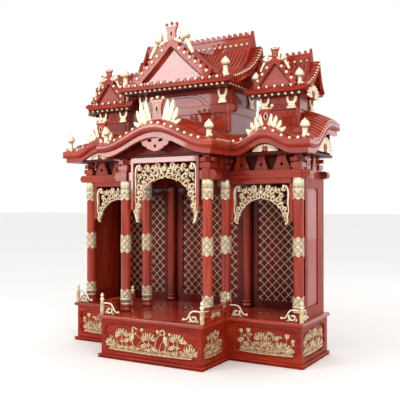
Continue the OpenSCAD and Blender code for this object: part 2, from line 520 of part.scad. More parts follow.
// bracket: two stepped blocks carrying a pair of upturned arms, h high
module bracketU(x, y, z0, h) translate([x, y, z0]) {
  slab(-13, 13, -8, 0, 0, h*0.16);
  slab(-10.5, 10.5, -7, 0, h*0.16, h*0.34);
  upright(-6, 0) polygon([[-15, h], [-16.5, h*0.9], [-14, h*0.55], [-9, h*0.34], [9, h*0.34], [14, h*0.55], [16.5, h*0.9], [15, h], [8, h], [9.5, h*0.85],
    [7.5, h*0.62], [4, h*0.55], [-4, h*0.55], [-7.5, h*0.62], [-9.5, h*0.85], [-8, h]]);
}
module tower_brackets() place(goldLeaf) pair() {
  bracketU(centreTowerHalf - 15, 31, centreTowerTop - 44, 44);
  translate([centreTowerHalf + 6, 172, 0]) rotate(90) bracketU(0, 0, centreTowerTop - 44, 44);
  translate([sideTowerX, 0, 0]) {
    pair() bracketU(sideTowerHalf - 15, 79, sideTowerTop - 37.8, 37.8);
    translate([sideTowerHalf + 4, 178, 0]) rotate(90) bracketU(0, 0, sideTowerTop - 37.8, 37.8);
  }
}

// outlines in the y-z plane, from the eave up to the ridge and down behind
function raised(pts, z) = [for (p = pts) [p[0], p[1] + z]];
cTop = centreTowerTop + 19;
sTop = sideTowerTop + 22;
mainSlope = raised([[-24, 0], [10, 15], [45, 35], [80, 63], [105, 91], [116, 108], [144, 108], [160, 88], [185, 63], [210, 45], [backY, 33]], cTop);
mainVerge = raised([[-32, 0], [0, 8], [30, 21], [60, 35], [90, 56], [112, 83], [130, 115], [148, 83], [170, 56], [200, 35], [backY, 21]], cTop);
sideSlope = raised([[53, 0], [72, 12], [92, 32], [106, 54], [112, 70], [132, 70], [138, 54], [152, 32], [172, 12], [191, 0]], sTop);
sideVerge = raised([[49, 0], [70, 9], [92, 27], [108, 50], [122, 76], [136, 50], [152, 27], [174, 9], [195, 0]], sTop);
function lowered(pts, d) = [for (i = [len(pts) - 1:-1:0]) [pts[i][0], pts[i][1] - d]];
module shell(pts, d) polygon(concat(pts, lowered(pts, d)));
// outer and inner edges of the front gables, over distance from the axis
function mainOuter(x) = cTop + min(128, 135 - 0.95*abs(x) + 0.0008*x*x);
function mainInner(x) = cTop + 110 - 1.05*abs(x) + 0.001*x*x;
function sideOuter(x) = sTop + min(84, 90 - 1.2*abs(x));
function sideInner(x) = sTop + 70 - 1.25*abs(x);

// fascia whose ends turn up in a short tip
module upsweptFascia(half, tip, z0, z1, h) {
  xs = concat([-tip], span(-half, -half + 24, 4), span(half - 24, half, 4), [tip]);
  function up(x) = h*pow(max(0, abs(x) - half + 24)/(tip - half + 24), 2);
  polygon(concat([for (x = xs) [x, z0 + up(x) + (abs(x) > half ? 3 : 0)]], [for (i = [len(xs) - 1:-1:0]) [xs[i], z1 + up(xs[i]) - (abs(xs[i]) > half ? 2 : 0)]]));
}
// plan of the verge beyond an end gable, widening from the eave corners to the ridge
module vergePlan(x0, corner, tip, front, ridge, back) polygon([[x0, front], [corner, front], [tip, ridge], [corner + (tip - corner)*0.35, back], [x0, back]]);
module centre_tower_roof() place() {
  slab(-cEave + 12, cEave - 12, -22, backY, centreTowerTop, cTop - 11);
  slab(-cEave, cEave, -22, backY, cTop - 11, cTop);
  difference() {
    union() {
      upright(-32, -22) upsweptFascia(cEave, cEave + 8, cTop - 11, cTop, 5);
      difference() {
        sideways(-cEave + 10, cEave - 10) shell(mainSlope, 9);
        slab(-122, 122, -40, -15.7, cTop, cTop + 83);
      }
    }
    pair() rod(cEave - 20.5, -20, cTop, cTop + 23, 9.3);
  }
  // gable roof running back from the front
  upright(-22, 100) polygon(concat([for (x = span(-140, 140, 28)) [x, mainOuter(x)]], [for (x = span(140, -140, 28)) [x, mainOuter(x) - 9]]));
  pair() {
    // end gable with its raised fin, then the verge roof beyond it
    sideways(cEave - 10, cEave - 1) polygon(raised([[-24, 0], [10, 15], [45, 35], [80, 63], [104, 113], [130, 168], [150, 118], [185, 63], [210, 45], [backY, 33], [backY, 0]], cTop));
    intersection() {
      sideways(cEave - 1, cEave + 28) shell(mainVerge, 9);
      translate([0, 0, cTop - 37]) linear_extrude(height = 180) vergePlan(cEave - 2, cEave + 1, cEave + 27, -32, 130, backY);
    }
  }
}
module side_tower_roofs() place() pair() translate([sideTowerX, 0, 0]) {
  slab(-sEave + 11, sEave - 11, 59, 196, sideTowerTop, sTop - 14);
  slab(-sEave, sEave, 56, 200, sTop - 14, sTop);
  upright(49, 56) upsweptFascia(sEave - 3, sEave + 5, sTop - 13, sTop, 5);
  difference() {
    union() {
      difference() {
        sideways(-sEave + 13, sEave - 13) shell(sideSlope, 8);
        slab(-61, 61, 40, 63, sTop, sTop + 52);
      }
      upright(63, 112) polygon(concat([for (x = span(-68, 68, 16)) [x, sideOuter(x)]], [for (x = span(68, -68, 16)) [x, sideOuter(x) - 8]]));
    }
    for (x = [-sEave + 28, sEave - 23]) rod(x, 65.4, sTop, sTop + 32, 9.3);
  }
  for (s = [0, 1]) mirror([s, 0, 0]) {
    sideways(sEave - 13, sEave - 6) polygon(raised([[57, 0], [72, 12], [92, 32], [104, s == 0 ? 74 : 58], [122, s == 0 ? 117 : 96], [136, s == 0 ? 78 : 62], [152, 32], [172, 12], [191, 0]], sTop));
    intersection() {
      sideways(sEave - 6, sEave + 19) shell(sideVerge, 8);
      translate([0, 0, sTop - 28]) linear_extrude(height = 130) vergePlan(sEave - 7, s == 0 ? sEave : sEave - 4, s == 0 ? sEave + 18 : sEave - 1, 49, 122, 196);
    }
  }
}
// band hanging a given distance under an outline, from d0 to d1 below it
module hangingBand(pts, d0, d1) polygon(concat([for (p = pts) [p[0], p[1] - d0]], lowered(pts, d1)));
// boards hanging under the outer edges of the verges
module flank_bargeboards() place() pair() {
  intersection() {
    sideways(cEave + 0.2, cEave + 27) hangingBand(mainVerge, 9, 22);
    translate([cEave, 0, cTop - 37]) linear_extrude(height = 180) polygon([[0.2, 6], [6, 6], [25.5, 130], [9, 230], [2, 230], [17, 130], [0.2, 14]]);
  }
  translate([sideTowerX, 0, 0]) intersection() {
    sideways(sEave + 5, sEave + 19) hangingBand(sideVerge, 8, 20);
    translate([sEave, 0, sTop - 28]) linear_extrude(height = 130) polygon([[5, 74], [5.8, 74], [17, 120], [17, 124], [5.8, 170], [5, 170], [5, 162], [11, 122], [5, 82]]);
  }
}
module tower_gable_panels() place() {
  upright(-21.8, -16) polygon(concat([[-120, cTop], [120, cTop]], [for (x = span(120, -120, 24)) [x, mainOuter(x) - 9.3]]));
  pair() translate([sideTowerX, 0, 0]) upright(56, 62.8) polygon(concat([[-51, sTop], [51, sTop]], [for (x = span(51, -51, 12)) [x, sideOuter(x) - 8.3]]));
}
module tower_gable_bargeboards() place() {
  upright(-34, -22) polygon(concat([for (x = span(-140, 140, 40)) [x, mainOuter(x)]],
    [[116, cTop + 0.2], [106, cTop + 0.2]], [for (x = span(104, -104, 40)) [x, mainInner(x)]], [[-106, cTop + 0.2], [-116, cTop + 0.2]]));
  pair() translate([sideTowerX, 0, 0]) upright(49, 56) polygon(concat([for (x = span(-68, 68, 16)) [x, sideOuter(x)]],
    [[58, sTop + 0.2], [54, sTop + 0.2]], [for (x = span(50, -50, 16)) [x, sideInner(x)]], [[-54, sTop + 0.2], [-58, sTop + 0.2]]));
}
module ridgeTeeth(half, n, y0, y1, z, h) for (i = [0:n - 1]) upright(y0, y1)
  translate([-half + (i + 0.5)*2*half/n, z]) polygon([[-h*0.55, 0], [h*0.55, 0], [h*0.1, h], [-h*0.5, h]]);
module tower_ridges() place() {
  // roll, raised board with a capping, then the row of teeth
  c = cEave - 10.5;
  slab(-c, c, 116, 144, cTop + 108, cTop + 114);
  slab(-c, c, 120, 140, cTop + 114, cTop + 149);
  slab(-c, c, 117, 143, cTop + 149, cTop + 154);
  ridgeTeeth(c - 2.5, 19, 122, 138, cTop + 154, 11);
  pair() translate([sideTowerX, 0, 0]) {
    d = sEave - 13.5;
    slab(-d + 6, d, 112.5, 131.5, sTop + 70, sTop + 75);
    slab(-d + 6, d, 115, 129, sTop + 75, sTop + 99);
    slab(-d + 6, d, 113, 131, sTop + 99, sTop + 103);
    translate([3, 0, 0]) ridgeTeeth(d - 4.5, 8, 116, 128, sTop + 103, 9);
  }
}
topLeaves = [[10, 4], [20, -2], [27, 7], [33, 15], [42, 19], [50, 17], [57, 8], [63, -5], [67, -20], [77, -44], [73, -51], [62, -34]];
module tower_crests() place() {
  upright(-32, -24) difference() {
    translate([0, cTop + 128]) {
      translate([0, -6]) crownShape(0.95);
      for (m = [0, 1]) mirror([m, 0]) polygon(concat([[6, -8]], topLeaves, [[20, -30]]));
    }
    polygon(concat([[-100, cTop - 10], [100, cTop - 10]], [for (x = span(98, -98, 28)) [x, mainOuter(x) + 0.05]]));
  }
  pair() upright(50, 55.5) difference() {
    translate([sideTowerX, sTop + 84]) {
      translate([0, -4]) crownShape(0.62);
      for (m = [0, 1]) mirror([m, 0]) scale([0.55, 0.55]) polygon(concat([[6, -8]], topLeaves, [[20, -30]]));
    }
    polygon(concat([[sideTowerX - 70, sTop - 20], [sideTowerX + 70, sTop - 20]], [for (x = span(68, -68, 16)) [sideTowerX + x, sideOuter(x) + 0.05]]));
  }
}
module finial(x, y, z, top) translate([x, y, z]) { h = top - z; rotate_extrude($fn = 24)
  polygon([[0, 0], [9, 0], [9, h - 46], [7, h - 44], [7, h - 32], [9, h - 30], [6, h - 27.5], [12.5, h - 22], [12.5, h - 18.5], [9, h - 11], [3, h - 3], [0, h]]); }
module roof_finials() place(goldLeaf) pair() {
  for (c = lowerFinials) finial(c[0], c[1], seatZ(c[0], c[1]), roofEdge + 58);
  finial(cEave - 20.5, -20, cTop, cTop + 63);
  finial(sideTowerX + sEave - 23, 65.4, sTop, sTop + 54);
  finial(sideTowerX - sEave + 28, 65.4, sTop, sTop + 54);
}

plinth_base_moulding();
plinth_boards();
deck_board();
deck_rail_posts();
deck_scroll_arms();
deck_return_rails();
centre_front_columns();
side_bay_columns();
back_columns();
column_foot_sleeves();
column_middle_sleeves();
column_top_sleeves();
side_wall_frames();
side_wall_panels();
back_wall_frame();
lattice_panels();
head_beams();
bearing_blocks();
frieze_struts();
centre_hanging_frame();
centre_valance();
side_valances();
soffit_board();
tympanum_board();
gable_pendant();
gold_fans();
eaves_fascias();
eaves_bargeboards();
rear_closing_boards();
lower_roof_centre();
lower_roof_sides();
lower_roof_crests();
centre_tower_walls();
side_tower_walls();
tower_brackets();
centre_tower_roof();
side_tower_roofs();
tower_gable_panels();
tower_gable_bargeboards();
flank_bargeboards();
tower_ridges();
tower_crests();
roof_finials();
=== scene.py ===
import math

import bmesh
import bpy
from mathutils import Matrix, Vector


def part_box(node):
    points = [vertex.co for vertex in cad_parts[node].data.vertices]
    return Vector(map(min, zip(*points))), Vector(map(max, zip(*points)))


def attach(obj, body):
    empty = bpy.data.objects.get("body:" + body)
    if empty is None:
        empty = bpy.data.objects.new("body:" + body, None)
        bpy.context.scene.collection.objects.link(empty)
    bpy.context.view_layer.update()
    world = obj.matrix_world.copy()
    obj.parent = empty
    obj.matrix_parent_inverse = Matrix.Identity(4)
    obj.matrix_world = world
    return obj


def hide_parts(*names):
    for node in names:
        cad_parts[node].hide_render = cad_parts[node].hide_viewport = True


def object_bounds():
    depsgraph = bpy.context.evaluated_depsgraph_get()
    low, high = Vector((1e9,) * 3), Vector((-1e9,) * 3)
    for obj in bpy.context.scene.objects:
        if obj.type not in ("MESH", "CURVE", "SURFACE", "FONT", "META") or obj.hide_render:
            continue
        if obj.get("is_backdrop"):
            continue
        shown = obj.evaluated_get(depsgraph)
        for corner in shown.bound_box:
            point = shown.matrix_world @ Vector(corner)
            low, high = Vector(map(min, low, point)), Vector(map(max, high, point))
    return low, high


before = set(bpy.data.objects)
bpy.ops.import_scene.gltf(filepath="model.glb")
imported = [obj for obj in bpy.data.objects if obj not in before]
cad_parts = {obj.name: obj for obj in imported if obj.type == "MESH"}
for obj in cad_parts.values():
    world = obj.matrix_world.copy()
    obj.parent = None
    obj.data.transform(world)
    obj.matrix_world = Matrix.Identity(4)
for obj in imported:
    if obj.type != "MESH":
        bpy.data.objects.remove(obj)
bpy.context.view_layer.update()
print("frame loaded with", len(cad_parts), "nodes")

# Lines of the altar in millimetres. X runs from the middle, Z from the foot,
# and Y from the front line of the side bays, which all lengths below use.
mm = 0.001
bodyDepth = 225                       # from that line to the back of the plinth
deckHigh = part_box("deck_board")[1]
frontLine = deckHigh.y / mm - bodyDepth
deckTop = deckHigh.z / mm
plinthHalf = deckHigh.x / mm


def corner(node):
    low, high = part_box(node)
    return [[c.x / mm, c.y / mm - frontLine, c.z / mm] for c in (low, high)]


centreRoof, sideRoof = corner("lower_roof_centre"), corner("lower_roof_sides")
roofFront, roofCentreHalf = centreRoof[0][1], centreRoof[1][0]
sideFront, roofHalf, backY = sideRoof[0][1], sideRoof[1][0], sideRoof[1][1]
eavesZ = corner("soffit_board")[0][2]
beamTop = eavesZ - 41                 # the open frieze stands between the beams and the eaves
beamMid, headBottom, beamBottom = beamTop - 23.5, beamTop - 28, beamTop - 39
roofEdge = eavesZ + 37
mainDrop, sideDrop = 19, 22           # the tower eaves hang this far below their tiles
mainEave = corner("centre_tower_roof")[0][2] + mainDrop
sideEave = corner("side_tower_roofs")[0][2] + sideDrop
mainHalf, sideHalf = 198, 93          # half widths of the tower eaves
towerAxis = 300                       # middle of a side tower
columns = {"inner": 143.5, "outer": 373, "radius": 14.8, "front": -64, "side": 49, "back": 196}
bayAxis = (columns["inner"] + columns["outer"]) / 2


# Camera, standing to the right of the altar at the height of its niches
camera = bpy.data.objects.new("camera", bpy.data.cameras.new("camera"))
bpy.context.collection.objects.link(camera)
camera.location = (1.0224, -1.6706, 0.4431)
camera.rotation_euler = (math.radians(90.204), 0, math.radians(29.955))
camera.data.lens = 56.98
camera.data.sensor_width = 36
camera.data.shift_y = 0.013
bpy.context.scene.camera = camera


# Materials
def linearColour(hexCode):
    channels = [int(hexCode[i:i + 2], 16) / 255 for i in (1, 3, 5)]
    return [c / 12.92 if c <= 0.04045 else ((c + 0.055) / 1.055) ** 2.4 for c in channels] + [1.0]


def addNode(tree, kind, settings=None, links=None):
    node = tree.nodes.new("ShaderNode" + kind)
    for key, value in (settings or {}).items():
        if key == "stops":            # colour ramp: pairs of place and hex colour
            stops = node.color_ramp.elements
            while len(stops) < len(value):
                stops.new(0.5)
            for stop, (place, hexCode) in zip(stops, value):
                stop.position, stop.color = place, linearColour(hexCode)
        elif isinstance(key, int) or key in node.inputs:
            node.inputs[key].default_value = value
        else:
            setattr(node, key, value)
    for key, source in (links or {}).items():
        tree.links.new(source, node.inputs[key])
    return node


def startMaterial(name):
    material = bpy.data.materials.new(name)
    material.use_nodes = True
    material.node_tree.nodes.clear()
    return material, material.node_tree


redWood = [(0.30, "#8E2412"), (0.52, "#A93419"), (0.75, "#BE4826")]
lowWood = [(0.30, "#861C0C"), (0.52, "#9C2810"), (0.75, "#B03818")]
lacquerTones = {                      # coat: share of the clear gloss; shade: reach in mm of the painted shade in the niches
    "red": {"figure": redWood, "grain": "#DBB8AC", "coat": 0.8},
    "shaded": {"figure": redWood, "grain": "#DBB8AC", "coat": 0.7, "shade": 200},
    "low": {"figure": lowWood, "grain": "#D2A898", "coat": 0.14},
    "niche": {"figure": lowWood, "grain": "#D2A898", "coat": 0.2, "shade": 300},
    # inner: a darker stain, made darker still as painted shade of the niches
    "inner": {"figure": [(0.30, "#6E180A"), (0.52, "#86220E"), (0.75, "#9A3016")], "grain": "#D2A898",
              "coat": 0.08, "shade": 300},
    # deep: the crest eyes' own dark lacquer, also used as painted shadow under the eaves, behind the struts
    # and in cut lines
    "deep": {"figure": [(0.30, "#400C07"), (0.52, "#58130B"), (0.75, "#6A1C10")], "grain": "#CDB0A8",
             "coat": 0.06},
}
lacquerLook = {
    # painted shade: how dark the wood turns as the niches close in
    "smoke": [(0.16, "#1C0E0A"), (0.42, "#9E7A70"), (0.72, "#FFFFFF")],
    "grainWidth": 1.8,                # mm, drawn three times as coarse as the real pores so that they show
    "grainLength": 70,
    "figureWidth": 26,                # mm across one band of the figure
    "figureLength": 260,
    "bodyRoughness": 0.45,
    "bodySheen": 0.15,                # the wood under the coat hardly shines
    "coatRoughness": 0.05,
    "poreDepth": 0.05,                # mm
    "waviness": 40,                   # mm between the slow waves of a hand-rubbed coat
    "waveDepth": 0.25,
}
multiply = {"data_type": "RGBA", "blend_type": "MULTIPLY", 0: 1.0}


# Polished lacquer over red-brown hardwood: dark fine grain under a clear, almost wet gloss. Boards near the
# foot and inside the niches have less of the coat; flat show boards have a harder one that mirrors more.
# Tones with a shade reach get painted shade, darker where the niches close in.
def lacqueredHardwood(name, grainAxis, tone, coatIor=1.5):
    look, tone = lacquerLook, lacquerTones[tone]
    material, tree = startMaterial(name)
    place = addNode(tree, "TexCoord").outputs["Object"]

    def stretched(width, length):
        scale = [1 / (width * mm)] * 3
        scale["XYZ".index(grainAxis)] = 1 / (length * mm)
        return addNode(tree, "Mapping", {"Scale": scale}, {"Vector": place}).outputs[0]

    figure = addNode(tree, "TexNoise", {"Scale": 1, "Detail": 3, "Distortion": 0.6},
                     {"Vector": stretched(look["figureWidth"], look["figureLength"])})
    wood = addNode(tree, "ValToRGB", {"stops": tone["figure"]}, {"Fac": figure.outputs["Fac"]})
    pores = addNode(tree, "TexNoise", {"Scale": 1, "Detail": 4, "Roughness": 0.65},
                    {"Vector": stretched(look["grainWidth"], look["grainLength"])})
    lines = addNode(tree, "ValToRGB", {"stops": [(0.42, tone["grain"]), (0.55, "#FFFFFF")]},
                    {"Fac": pores.outputs["Fac"]})
    colour = addNode(tree, "Mix", multiply, {6: wood.outputs["Color"], 7: lines.outputs["Color"]})
    if "shade" in tone:               # painted shade: the wood darkens where the niches close in and little of the room is seen
        openness = addNode(tree, "AmbientOcclusion", {"samples": 6, "Distance": tone["shade"] * mm})
        smoke = addNode(tree, "ValToRGB", {"stops": look["smoke"]}, {"Fac": openness.outputs["AO"]})
        colour = addNode(tree, "Mix", multiply, {6: colour.outputs[2], 7: smoke.outputs["Color"]})
    poreBump = addNode(tree, "Bump", {"Strength": 0.25, "Distance": look["poreDepth"] * mm},
                       {"Height": pores.outputs["Fac"]})
    slow = addNode(tree, "TexNoise", {"Scale": 1 / (look["waviness"] * mm), "Detail": 1}, {"Vector": place})
    waves = addNode(tree, "Bump", {"Strength": 0.3, "Distance": look["waveDepth"] * mm},
                    {"Height": slow.outputs["Fac"]})
    surface = addNode(tree, "BsdfPrincipled",
                      {"Roughness": look["bodyRoughness"], "IOR": 1.5,
                       "Specular IOR Level": look["bodySheen"], "Coat Weight": tone["coat"],
                       "Coat Roughness": look["coatRoughness"], "Coat IOR": coatIor},
                      {"Base Color": colour.outputs[2], "Normal": poreBump.outputs["Normal"],
                       "Coat Normal": waves.outputs["Normal"]})
    addNode(tree, "OutputMaterial", {}, {"Surface": surface.outputs["BSDF"]})
    return material


goldLook = {
    "bright": [(0.28, "#DFCDA6"), (0.48, "#ECDFC2"), (0.72, "#F7EEDA")],
    # relief: darker and redder gold for the low carvings, a painted reflection of red surroundings
    "relief": [(0.28, "#C09A70"), (0.48, "#D8BC92"), (0.72, "#F0E2C4")],
    "line": [(0.28, "#E8C4A4"), (0.48, "#F0D2B4"), (0.72, "#F8E2C8")],
    "warm": [(0.28, "#D6BA94"), (0.48, "#E6D3B2"), (0.72, "#F4E9D2")],
    # dark brown for the ground between raised lines: painted shade
    "glazed": [(0.28, "#543620"), (0.48, "#6E4A2E"), (0.72, "#8A6340")],
    "clouds": 14,                     # mm across one change of the leaf's tone
    "bole": "#B0703A",                # warm clay that shows where the leaf is rubbed
    "rubbed": [(0.64, "#000000"), (0.74, "#707070")],
    "rubbedSpots": 9,                 # mm
    # painted shade: the leaf turns brown where little of the surroundings is seen
    "hollow": [(0.35, "#5A2C18"), (0.72, "#CFA878"), (0.93, "#FFFFFF")],
    "hollowReach": 5.5,               # mm, how wide a gap the painted shade fills
    "chiselMarks": 2.6,               # mm
    "chiselDepth": 0.2,
}


# Pale gold leaf over carved wood: soft bright highlights, small chisel facets, painted brown shade in the
# hollows. Fine lines get no painted shade and shine more.
def gildedCarving(name, tone, glazed=True, metallic=0.3, roughness=0.36):
    look = goldLook
    material, tree = startMaterial(name)
    place = addNode(tree, "TexCoord").outputs["Object"]
    tint = addNode(tree, "TexNoise", {"Scale": 1 / (look["clouds"] * mm), "Detail": 3}, {"Vector": place})
    gold = addNode(tree, "ValToRGB", {"stops": look[tone]}, {"Fac": tint.outputs["Fac"]})
    spots = addNode(tree, "TexNoise",
                    {"Scale": 1 / (look["rubbedSpots"] * mm), "Detail": 6, "Roughness": 0.7},
                    {"Vector": place})
    rubbed = addNode(tree, "ValToRGB", {"stops": look["rubbed"]}, {"Fac": spots.outputs["Fac"]})
    leaf = addNode(tree, "Mix", {"data_type": "RGBA", 7: linearColour(look["bole"])},
                   {0: rubbed.outputs["Color"], 6: gold.outputs["Color"]})
    openness = addNode(tree, "AmbientOcclusion", {"samples": 6, "Distance": look["hollowReach"] * mm})
    glaze = addNode(tree, "ValToRGB", {"stops": look["hollow"]}, {"Fac": openness.outputs["AO"]})
    colour = addNode(tree, "Mix", {**multiply, 0: 1.0 if glazed else 0.0},
                     {6: leaf.outputs[2], 7: glaze.outputs["Color"]})
    marks = addNode(tree, "TexVoronoi", {"Scale": 1 / (look["chiselMarks"] * mm), "feature": "SMOOTH_F1"},
                    {"Vector": place})
    bump = addNode(tree, "Bump", {"Strength": 0.35, "Distance": look["chiselDepth"] * mm},
                   {"Height": marks.outputs["Distance"]})
    surface = addNode(tree, "BsdfPrincipled", {"Metallic": metallic, "Roughness": roughness},
                      {"Base Color": colour.outputs[2], "Normal": bump.outputs["Normal"]})
    addNode(tree, "OutputMaterial", {}, {"Surface": surface.outputs["BSDF"]})
    return material


def lacquerAlong(axes, name, tone):
    # one lacquer for each direction that the grain of a board can take
    return {axis: lacqueredHardwood(name + ", grain " + axis, axis, tone) for axis in axes}


lacquer = lacquerAlong("XYZ", "polished lacquer over hardwood", "red")
lowLacquer = lacquerAlong("XZ", "satin lacquer over hardwood", "low")
darkAndShadowLacquer = lacquerAlong("XZ", "dark lacquer over hardwood", "deep")
# lacquers whose wood is darkened by painted shade where the niches and eaves close in
shadedLacquer = lacquerAlong("XZ", "smoked gloss lacquer", "shaded")
nicheLacquer = lacqueredHardwood("smoked lacquer over hardwood", "Z", "niche")
innerLacquer = lacqueredHardwood("shaded lacquer over hardwood", "Z", "inner")
panelLacquer = lacqueredHardwood("thick lacquer over hardwood panels", "X", "red", 2.0)
boardLacquer = lacqueredHardwood("thick lacquer over hardwood boards", "X", "red", 1.74)
gold = gildedCarving("gold leaf over carved wood", "bright")
warmGold = gildedCarving("warm gold leaf over deep carving", "warm")
reliefGold = gildedCarving("rubbed gold leaf over low carving", "relief")
shadeGroundGold = gildedCarving("gold leaf under brown glaze", "glazed")
lineGold = gildedCarving("fine gold lines on lacquer", "line", False, 0.6, 0.4)
slotOf = {m.name: "gilded_carving" for m in (gold, warmGold, reliefGold, shadeGroundGold, lineGold)}
slotOf.update({m.name: "dark_lacquered_wood" for m in (innerLacquer, *darkAndShadowLacquer.values())})
print("materials ready")


# Carving tools: every form is built of loops of points joined into a closed skin
def newCarving():
    return {"points": [], "faces": []}


def addRings(carving, rings, start=None, end=None, wrapped=False):
    # start and end are the tips that the first and last loops close to; without them they get a flat face
    points, faces = carving["points"], carving["faces"]
    first, size, count = len(points), len(rings[0]), len(rings)
    for ring in rings:
        points.extend(tuple(p) for p in ring)
    for i in range(count if wrapped else count - 1):
        a, b = first + i * size, first + (i + 1) % count * size
        for j in range(size):
            k = (j + 1) % size
            faces.append((a + j, a + k, b + k, b + j))
    if wrapped:
        return
    for tip, base in ((start, first), (end, first + (count - 1) * size)):
        if tip is None:
            faces.append(tuple(range(base, base + size)))
        else:
            points.append(tuple(tip))
            faces.extend((base + j, base + (j + 1) % size, len(points) - 1) for j in range(size))


def addMirror(carving, axis=0.0):
    count = len(carving["points"])
    carving["points"] += [(2 * axis - x, y, z) for x, y, z in carving["points"]]
    carving["faces"] += [tuple(i + count for i in face) for face in carving["faces"]]


def joinHalf(carving, half, axis=0.0):
    # adds a form and its mirror image about the plane x = axis
    addMirror(half, axis)
    first = len(carving["points"])
    carving["faces"] += [tuple(i + first for i in face) for face in half["faces"]]
    carving["points"] += half["points"]


def steps(start, end, count):
    return [start + (end - start) * i / count for i in range(count + 1)]


def circlePoints(count):
    return [(math.cos(2 * math.pi * k / count), math.sin(2 * math.pi * k / count)) for k in range(count)]


def moved(point, angle, distance):
    return (point[0] + distance * math.cos(angle), point[1] + distance * math.sin(angle))


def curveThrough(points, parts=6):
    # smooth line through the points, with some parts between each two
    padded = [points[0]] + list(points) + [points[-1]]
    line = []
    for a, b, c, d in zip(padded, padded[1:], padded[2:], padded[3:]):
        for i in range(parts):
            t = i / parts
            line.append(tuple(0.5 * (2 * q + (r - p) * t + (2 * p - 5 * q + 4 * r - s) * t * t
                                     + (3 * q - p - 3 * r + s) * t ** 3) for p, q, r, s in zip(a, b, c, d)))
    line.append(tuple(points[-1]))
    return line


def alongLine(points, pitch, first=0.5):
    # places at equal steps along a broken line, the first one at a share of the pitch
    line, left = [], pitch * first
    for (a, b), (c, d) in zip(points, points[1:]):
        length = math.hypot(c - a, d - b)
        while left <= length:
            line.append((a + (c - a) * left / length, b + (d - b) * left / length))
            left += pitch
        left -= length
    return line


def facing(direction, level):
    # a flat board to carve on: u and v lie along it, h comes out of it
    if direction == "front":
        return Matrix(((1, 0, 0, 0), (0, 0, -1, level), (0, 1, 0, 0), (0, 0, 0, 1)))
    return Matrix(((0, 0, 1, level), (1, 0, 0, 0), (0, 1, 0, 0), (0, 0, 0, 1)))


def addBox(carving, low, high):
    outline = [(low[0], low[2]), (high[0], low[2]), (high[0], high[2]), (low[0], high[2])]
    addRings(carving, [[(x, y, z) for x, z in outline] for y in (low[1], high[1])])


def addTurning(carving, x, y, profile, sides=32):
    # the profile holds radius and height, and closes to a tip where its first or last radius is nothing
    rings = [[(x + r * c, y + r * s, z) for c, s in circlePoints(sides)] for r, z in profile if r > 0]
    tips = [(x, y, z) if r == 0 else None for r, z in (profile[0], profile[-1])]
    addRings(carving, rings, *tips)


def addBall(carving, x, y, z, radius):
    angles = [math.pi * i / 6 for i in range(1, 6)]
    middle = [(radius * math.sin(a), z - radius * math.cos(a)) for a in angles]
    addTurning(carving, x, y, [(0, z - radius), *middle, (0, z + radius)], 10)


def addTube(carving, path, radius, sides=8, up=Vector((0, 0, 1))):
    rings = []
    for i, p in enumerate(path):
        along = (Vector(path[min(i + 1, len(path) - 1)]) - Vector(path[max(i - 1, 0)])).normalized()
        across = along.cross(up).normalized()
        rise = across.cross(along)
        r = radius(i / (len(path) - 1)) if callable(radius) else radius
        rings.append([Vector(p) + across * r * c + rise * r * s for c, s in circlePoints(sides)])
    addRings(carving, rings)


def addSpindle(carving, foot, head, profile, sides=20):
    # turned piece whose axis leans from foot to head; the profile holds radius and share of the length
    foot, head = Vector(foot), Vector(head)
    axis = (head - foot).normalized()
    across = axis.orthogonal().normalized()
    other = axis.cross(across)
    rings = []
    for radius, share in profile:
        middle = foot + (head - foot) * share
        rings.append([middle + (across * c + other * s) * radius for c, s in circlePoints(sides)])
    addRings(carving, rings, None, head)


leafForms = {                         # width of a leaf along its length, from root to tip
    "petal": lambda t: math.sin(math.pi * t ** 0.8) ** 0.7 if 0 < t < 1 else 0.0,
    "flame": lambda t: 2.1 * t ** 0.6 * (1 - t) ** 0.75,
    "blade": lambda t: (1 - t) ** 0.6 * (0.55 + 0.9 * t),
    "tooth": lambda t: (1 - t) * (1 + 1.5 * t),
    "stem": lambda t: 1 - 0.3 * t,
    "even": lambda t: 1.0,
    "strap": lambda t: 0.35 + 0.65 * math.sin(math.pi * min(1, 0.12 + 0.88 * t)) ** 0.7,
}


def addLeaf(carving, at, path, width, height, form="petal", depth=0.6, fold=0.0, sides=4, lift=0.0):
    # rounded strip of carving along a path on the board, with a groove down the middle where fold is given
    taper, count = leafForms[form], len(path) - 1
    rings, tips = [], [None, None]
    for i, (u, v) in enumerate(path):
        size = taper(i / count)
        if size < 0.02:
            tips[0 if i == 0 else 1] = at @ Vector((u, v, lift))
            continue
        before, after = path[max(i - 1, 0)], path[min(i + 1, count)]
        du, dv = after[0] - before[0], after[1] - before[1]
        length = math.hypot(du, dv) or 1.0
        section = [(-1, -depth)]
        for k in range(sides + 1):
            turn = math.pi * k / sides
            bulge = math.sin(turn) ** 0.7 * (1 - fold * math.sin(turn) ** 3) if 0 < k < sides else 0
            section.append((-math.cos(turn), lift + height * size ** 0.5 * bulge))
        section.append((1, -depth))
        half = width / 2 * size
        rings.append([at @ Vector((u - dv / length * s * half, v + du / length * s * half, h))
                      for s, h in section])
    addRings(carving, rings, *tips)


scrollForm = {
    "inward": 0.72,                   # share of the radius lost by the eye
    "stepAngle": 22, "fewest": 8,     # degrees from point to point, and the least number of them
    "lobeSpan": 0.62,                 # share of the turn that carries leaf tips
    "lean": 38, "bend": 50,           # degrees, of a leaf tip from the stem and along itself
}


